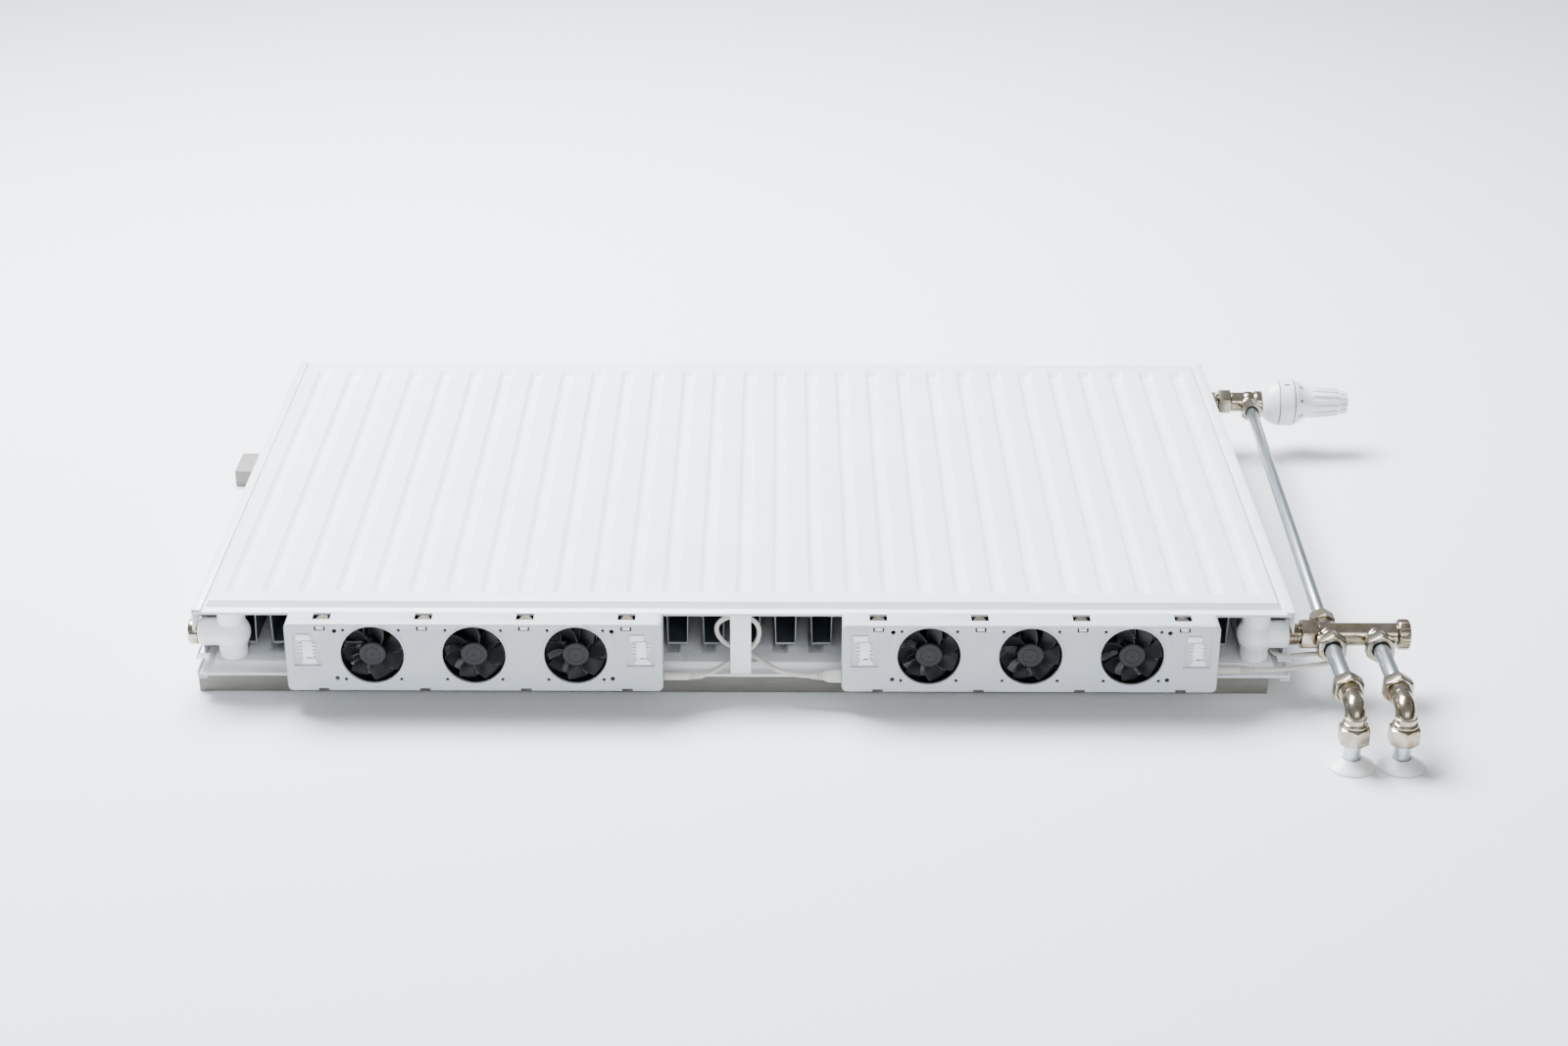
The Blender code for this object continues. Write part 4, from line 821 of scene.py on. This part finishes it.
# Valve, block and pipes --------------------------------------------------------------------------


def hexagon_nut(node, name, along, across_flats, bore):
    """A hexagon nut, sized in millimetres, with turned chamfers at both ends, in the place of its node."""
    low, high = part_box(node)
    reach = abs((high - low).dot(along))
    start = (low + high) / 2 - along * reach / 2
    length, flat, corner, mouth = reach / MM, across_flats / 2, across_flats / math.sqrt(3), bore + 0.9
    nut = rod(start, along, reach, corner * MM, 6)
    chamfer = (corner - 0.96 * flat) * math.tan(math.radians(30))
    blank = [(-0.01, 0.96 * flat), (chamfer, corner * 1.001), (length - chamfer, corner * 1.001),
             (length + 0.01, 0.96 * flat)]
    cut(nut, turned(start, along, blank, 72), operation="INTERSECT")
    cut(nut, turned(start, along, [(-1, mouth), (0.02, mouth), (1.2, bore), (length - 1.2, bore),
                                   (length - 0.02, mouth), (length + 1, mouth)]))
    soften(nut, 0.2 * MM)
    return finished(nut, name, NICKEL, replaces=(node,), degrees=25)


def valve():
    """The angle valve: its threaded tail, union nut, forged body and pin."""
    start = Vector((PORT_FACE, UPPER_PORT_Y, PORT_Z))
    tail = [(-10, 10.1), (0.3, 10.1), (0.3, 11.3), *thread_rings(1.5, 12.9, 11.4), (14, 11.2), (15, 8.2),
            (20.3, 8.2), (20.3, 9.6), (23, 9.6)]
    tail = turned(start, X_AXIS, tail, 56)
    finished(tail, "valve_tail_threaded", NICKEL, replaces=("valve_tail",), degrees=40)
    hexagon_nut("valve_union_nut", "valve_union_hexagon", X_AXIS, 25, 9.9)
    body = turned(start, X_AXIS, [(23.4, 9.9), (31.4, 9.9), (31.4, 10.8), (57, 10.8), (58.5, 12.4),
                                  (65.1, 12.4)])
    riser_low, riser_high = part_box("riser_nut_upper")
    centre = ((riser_low.x + riser_high.x) / 2, UPPER_PORT_Y, PORT_Z)
    cut(body, ball(centre, 12 * MM), operation="UNION")
    cut(body, rod(centre, -Y_AXIS, 17 * MM, 8.4 * MM), operation="UNION")
    cut(body, rod(start + 49.5 * MM * X_AXIS, X_AXIS, 20 * MM, 2.9 * MM, 24))
    cast_look(body, 0.5 * MM, 4)
    finished(body, "valve_body_forged", NICKEL, replaces=("valve_body",), degrees=60)
    pin = turned(start, X_AXIS, [(52.5, 2.3), (70.4, 2.3), (71, 1.7)], 24)
    finished(pin, "valve_spindle", NICKEL, "valve_pin", ("valve_pin",))


def thermostatic_head():
    """The white head: a cup with two joint lines, and a ribbed cone that turns."""
    start = Vector((PORT_FACE, UPPER_PORT_Y, PORT_Z))
    cup = turned(start, X_AXIS, [
        (65.5, 11.7), (66.5, 14.6), (68, 17.4), (70, 19.5), (72, 21), (74.5, 22.5), (77, 23.7), (80, 24.8),
        (82.2, 25.4), (82.5, 24.7), (83.4, 24.7), (83.7, 25.7), (90, 26.1), (96, 26.3), (98.4, 26.1),
        (98.7, 25.2), (100, 25.1), (100, 8), (112, 8)], 96)
    cut(cup, rod(start + 64.5 * MM * X_AXIS, X_AXIS, 11.5 * MM, 4 * MM, 24))
    finished(cup, "head_cup", WHITE_ABS, replaces=("head_base",), degrees=40)
    joints = []
    for at, radius in ((82.9, 24.95), (99.4, 25.25)):
        near, far, deep = at - 0.4, at + 0.4, radius - 0.8
        loop = [(near, deep), (near, radius), (far, radius), (far, deep), (near, deep)]
        joints.append(turned(start, X_AXIS, loop, 96, hollow=True))
    finished(join(*joints), "head_joint_lines", DARK_RUBBER)
    cone = turned(start, X_AXIS, [
        (100.4, 24.8), (101, 24.9), (104, 23.4), (108, 20.9), (111, 19.4), (114.5, 18.1), (118, 17.2),
        (125, 15.9), (132, 15), (142, 14.1), (152, 13.2), (158, 12.7), (159.6, 12.1), (160, 11.2),
        (159.6, 10.2)], 96)
    cut(cone, rod(start + 99 * MM * X_AXIS, X_AXIS, 13.4 * MM, 8.3 * MM, 40))
    slot = block((152 * MM, -1.2 * MM, 10.9 * MM), (158 * MM, 1.2 * MM, 15 * MM))
    cut(cone, *ring_of(slot, GRIP_RIBS, start))
    soften(cone, 0.2 * MM, 1, 50)
    finished(cone, "head_cone", WHITE_ABS, "handle", ("head_handle",), 40)
    rib = block((120 * MM, -1.6 * MM, 14.6 * MM), (150 * MM, 1.6 * MM, 16.2 * MM))
    middle = Matrix.Translation((135 * MM, 0, 15 * MM))
    rib.data.transform(middle @ Matrix.Rotation(math.radians(4.9), 4, "Y") @ middle.inverted())
    ribs = ring_of(soften(rib, 0.6 * MM, 3), GRIP_RIBS, start, math.pi / GRIP_RIBS)
    finished(join(*ribs), "head_grip_ribs", WHITE_ABS, "handle")
    scale_marks(start)


def scale_marks(start):
    """Numerals round the cone, and a pointer on the cup."""
    quarter = Matrix.Rotation(math.radians(90), 4, "Z")
    slope = Matrix.Rotation(math.atan2(23.4 - 19.4, 7), 4, "Y")
    on_cone = Matrix.Translation((107.2 * MM, 0, 21.7 * MM)) @ slope @ quarter
    marks = []
    for number, degrees in zip("12345", range(-70, 111, 45)):
        deselect_all()
        bpy.ops.object.text_add(location=(0, 0, 0))
        text = bpy.context.object.data
        text.body = number
        text.size = 7.5 * MM
        text.extrude = 0.25 * MM
        text.align_x, text.align_y = "CENTER", "CENTER"
        bpy.ops.object.convert(target="MESH")
        marks += ring_of(bpy.context.object, 1, start, math.radians(degrees), on_cone)
    finished(join(*marks), "scale_numerals", DARK_RUBBER, "handle")
    pointer = block((-1 * MM, -3 * MM, -0.3 * MM), (1 * MM, 3 * MM, 0.25 * MM))
    on_cup = Matrix.Translation((91 * MM, 0, 26.15 * MM)) @ quarter
    ring_of(pointer, 1, start, math.radians(20), on_cup)
    finished(soften(pointer, 0.2 * MM), "scale_pointer", DARK_RUBBER)


def distributor_block():
    """The pipe block on the lower port: threaded nipple, union nut, tube with branches, and a ribbed cap."""
    start = Vector((PORT_FACE, LOWER_PORT_Y, PORT_Z))
    nipple = [(-10, 10), (0.3, 10), *thread_rings(0.6, 8.4, 10.2), (9, 8.2), (14.3, 8.2), (14.3, 9.6),
              (17, 9.6)]
    nipple = turned(start, X_AXIS, nipple, 56)
    finished(nipple, "block_nipple", NICKEL, replaces=("block_tail",), degrees=40)
    hexagon_nut("block_union_nut", "block_union_hexagon", X_AXIS, 26, 9.9)
    body = turned(start, X_AXIS, [(17.4, 9.9), (27.4, 9.9), (27.4, 10.7), (100, 10.7)])
    branches = (("outlet_nut_1", -1, 8.6), ("outlet_nut_2", -1, 8.6), ("riser_nut_lower", 1, 8.4))
    for node, side, radius in branches:
        low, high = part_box(node)
        branch_start = ((low.x + high.x) / 2, LOWER_PORT_Y, PORT_Z)
        branch = [(0, radius + 1), (12, radius + 1), (13, radius), (17, radius)]
        cut(body, turned(branch_start, side * Y_AXIS, branch), operation="UNION")
    cast_look(body, 0.55 * MM, 4)
    finished(body, "block_body_forged", NICKEL, replaces=("block_body",), degrees=60)
    cap_start = Vector((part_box("block_cap")[0].x, LOWER_PORT_Y, PORT_Z))
    outline = [(0, 13), (1.2, 14.2), (9.6, 14.2), (10.8, 13), (10.8, 9), (10.3, 8.6)]
    cap = turned(cap_start, X_AXIS, outline, 96)
    groove = block((-MM, -0.75 * MM, 13.5 * MM), (12 * MM, 0.75 * MM, 16 * MM))
    cut(cap, *ring_of(groove, CAP_GROOVES, cap_start))
    soften(cap, 0.15 * MM, 1, 40)
    finished(cap, "block_cap_ribbed", NICKEL, replaces=("block_cap",), degrees=30)


def pipe(node, name, finish):
    """A drawn pipe in the place of its node, between the middles of its node's two end faces."""
    vertices = [vertex.co for vertex in frame["nodes"][node].data.vertices]
    low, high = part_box(node)
    axis = max(range(3), key=lambda i: (high - low)[i])
    ends = []
    for edge, sign in ((low[axis], 1), (high[axis], -1)):
        near = [co for co in vertices if sign * (co[axis] - edge) < 1 * MM]
        ends.append(sum(near, Vector()) / len(near))
    along = ends[1] - ends[0]
    radius = max((co - ends[0]).cross(along).length / along.length for co in vertices)
    obj = rod(ends[0], along, along.length, radius - 0.02 * MM)
    return finished(soften(obj, 0.4 * MM), name, finish, replaces=(node,))


def elbow(number):
    """A compression elbow: a threaded neck, a round bend, a groove and a collar over the lower nut."""
    node = f"elbow_{number}"
    low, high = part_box(node)
    x = (low.x + high.x) / 2
    corner_y = sum(v.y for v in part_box(f"wall_stub_{number}")) / 2
    bend = 12 * MM
    arm, drop = high.y - corner_y, PORT_Z - bend - low.z
    deselect_all()
    bpy.ops.mesh.primitive_circle_add(vertices=ROUND, radius=9.1 * MM, fill_type="NGON",
                                      location=(x, high.y, PORT_Z), rotation=(math.pi / 2, 0, 0))
    obj = settle(bpy.context.object)
    bpy.ops.object.mode_set(mode="EDIT")
    bpy.ops.mesh.select_all(action="SELECT")
    bpy.ops.mesh.extrude_region_move(TRANSFORM_OT_translate={"value": (0, bend - arm, 0)})
    bpy.ops.mesh.spin(steps=12, angle=math.pi / 2, center=(x, corner_y + bend, PORT_Z - bend),
                      axis=(-1, 0, 0))
    bpy.ops.mesh.extrude_region_move(TRANSFORM_OT_translate={"value": (0, 0, -drop)})
    bpy.ops.mesh.select_all(action="SELECT")
    bpy.ops.mesh.remove_doubles(threshold=0.001 * MM)
    bpy.ops.mesh.normals_make_consistent(inside=False)
    bpy.ops.object.mode_set(mode="OBJECT")
    soften(obj, 0.3 * MM, 2, 50)
    finished(obj, f"elbow_bend_{number}", NICKEL, replaces=(node,), degrees=40)
    neck = [(0.1, 9.2), *thread_rings(0.6, 9.6, 10.1), (10, 9.2)]
    collar = [(0, 9.2), (0, 10.9), (0.6, 11.4), (2.6, 11.4), (3.6, 10.6), (4.2, 9.3), (8, 9.3), (8.3, 9.9),
              (9.1, 9.9), (9.4, 9.2)]
    rings = join(turned((x, high.y, PORT_Z), -Y_AXIS, neck), turned((x, corner_y, low.z), Z_AXIS, collar))
    finished(rings, f"elbow_collars_{number}", NICKEL, degrees=40)


def rosette(number):
    """A white wall rosette with a rolled rim and a domed top, loose on its pipe."""
    node = f"rosette_{number}"
    low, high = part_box(node)
    centre = ((low.x + high.x) / 2, (low.y + high.y) / 2, low.z)
    obj = turned(centre, Z_AXIS, [
        (0.05, 7.8), (0.05, 20.6), (0.4, 21.3), (1, 21.5), (1.6, 21.2), (2.4, 20.2), (4.4, 16.6), (6.4, 13.2),
        (7.8, 11), (8.6, 9.9), (8.95, 9.2), (8.95, 8.2), (8.6, 7.8), (0.05, 7.8)], 72, hollow=True)
    return finished(obj, f"rosette_domed_{number}", WHITE_ABS, node, (node,), 50)


def pipework():
    """The riser, the two lower pipes with their nuts and elbows, and the stubs through the rosettes."""
    pipe("riser_pipe", "riser", ZINC_Y)
    for height in ("upper", "lower"):
        hexagon_nut(f"riser_nut_{height}", f"riser_hexagon_{height}", Y_AXIS, 21, 6.4)
    for number in (1, 2):
        pipe(f"lower_pipe_{number}", f"outlet_pipe_{number}", ZINC_Y)
        pipe(f"wall_stub_{number}", f"stub_pipe_{number}", ZINC_Z)
        hexagon_nut(f"outlet_nut_{number}", f"outlet_hexagon_{number}", Y_AXIS, 25, 7.8)
        hexagon_nut(f"elbow_nut_upper_{number}", f"elbow_hexagon_upper_{number}", Y_AXIS, 25, 7.8)
        hexagon_nut(f"elbow_nut_lower_{number}", f"elbow_hexagon_lower_{number}", Z_AXIS, 25, 7.8)
        elbow(number)
        rosette(number)


# Studio ------------------------------------------------------------------------------------------


def camera():
    """A view from in front and above, nearly square to the radiator."""
    data = bpy.data.cameras.new("camera")
    data.sensor_width = 36
    data.lens = 60.3
    obj = bpy.data.objects.new("camera", data)
    bpy.context.scene.collection.objects.link(obj)
    turn = (Matrix.Rotation(math.radians(-0.07), 4, "Z") @ Matrix.Rotation(math.radians(64.56), 4, "X")
            @ Matrix.Rotation(math.radians(0.19), 4, "Z"))
    obj.matrix_world = Matrix.Translation((0.034, -2.150, 1.185)) @ turn
    bpy.context.scene.camera = obj


def area_light(name, place, target, size, energy, tint="#FFFFFF"):
    data = bpy.data.lights.new(name, "AREA")
    data.shape = "RECTANGLE"
    data.size, data.size_y = size
    data.energy = energy
    data.color = colour(tint)[:3]
    obj = bpy.data.objects.new(name, data)
    obj.location = place
    obj.rotation_mode = "QUATERNION"
    obj.rotation_quaternion = (Vector(target) - Vector(place)).to_track_quat("-Z", "Y")
    bpy.context.scene.collection.objects.link(obj)


def studio():
    """A pale floor under soft light from above, with dark cards that the metal mirrors."""
    deselect_all()
    bpy.ops.mesh.primitive_plane_add(size=16, location=(0, 2, 0))
    floor = settle(bpy.context.object)
    floor.name = "studio_floor"
    floor.data.materials.append(seamless_floor())
    area_light("overhead", (-0.9, 1.2, 2.5), (0.1, 0.1, 0), (2.2, 1.4), 500, "#F5F9FF")
    area_light("front_fill", (0.6, -3.0, 1.6), (0.1, 0, 0), (2.4, 1.0), 34)
    for name, low, high in (("dark_card_right", (2.3, -2.2, 0), (2.32, 1.2, 0.9)),
                            ("dark_card_front", (-2.2, -3.5, 0), (2.2, -3.48, 0.7)),
                            ("dark_card_left", (-2.4, -2.2, 0), (-2.38, 1.2, 0.9))):
        card = block(low, high)
        card.name = name
        card.data.materials.append(shaded(name, "#141414", 0.8)[0])
        card.visible_camera = False
    world = bpy.data.worlds.new("studio")
    world.use_nodes = True
    background = world.node_tree.nodes["Background"]
    background.inputs["Color"].default_value = colour("#F4F7FA")
    background.inputs["Strength"].default_value = 0.45
    bpy.context.scene.world = world
    camera()


def remaining_nodes():
    """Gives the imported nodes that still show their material."""
    slots = {row["node"]: row["material_slot"] for row in frame["record"]["subparts"]}
    for node, obj in frame["nodes"].items():
        obj.data.materials.clear()
        obj.data.materials.append(SLOT_MATERIALS[slots[node]])


def main():
    """The stage, then the leads, the radiator, the fan modules and the pipework."""
    studio()
    remaining_nodes()
    supply_lead()
    jumper()
    water_panels()
    covers()
    for height in ("lower", "upper"):
        for side, word in ((-1, "left"), (1, "right")):
            port_tee(f"tee_{height}_{word}", f"port_tee_{height}_{word}", side)
    end_plugs()
    fan_modules()
    valve()
    thermostatic_head()
    distributor_block()
    pipework()
    deselect_all()


main()
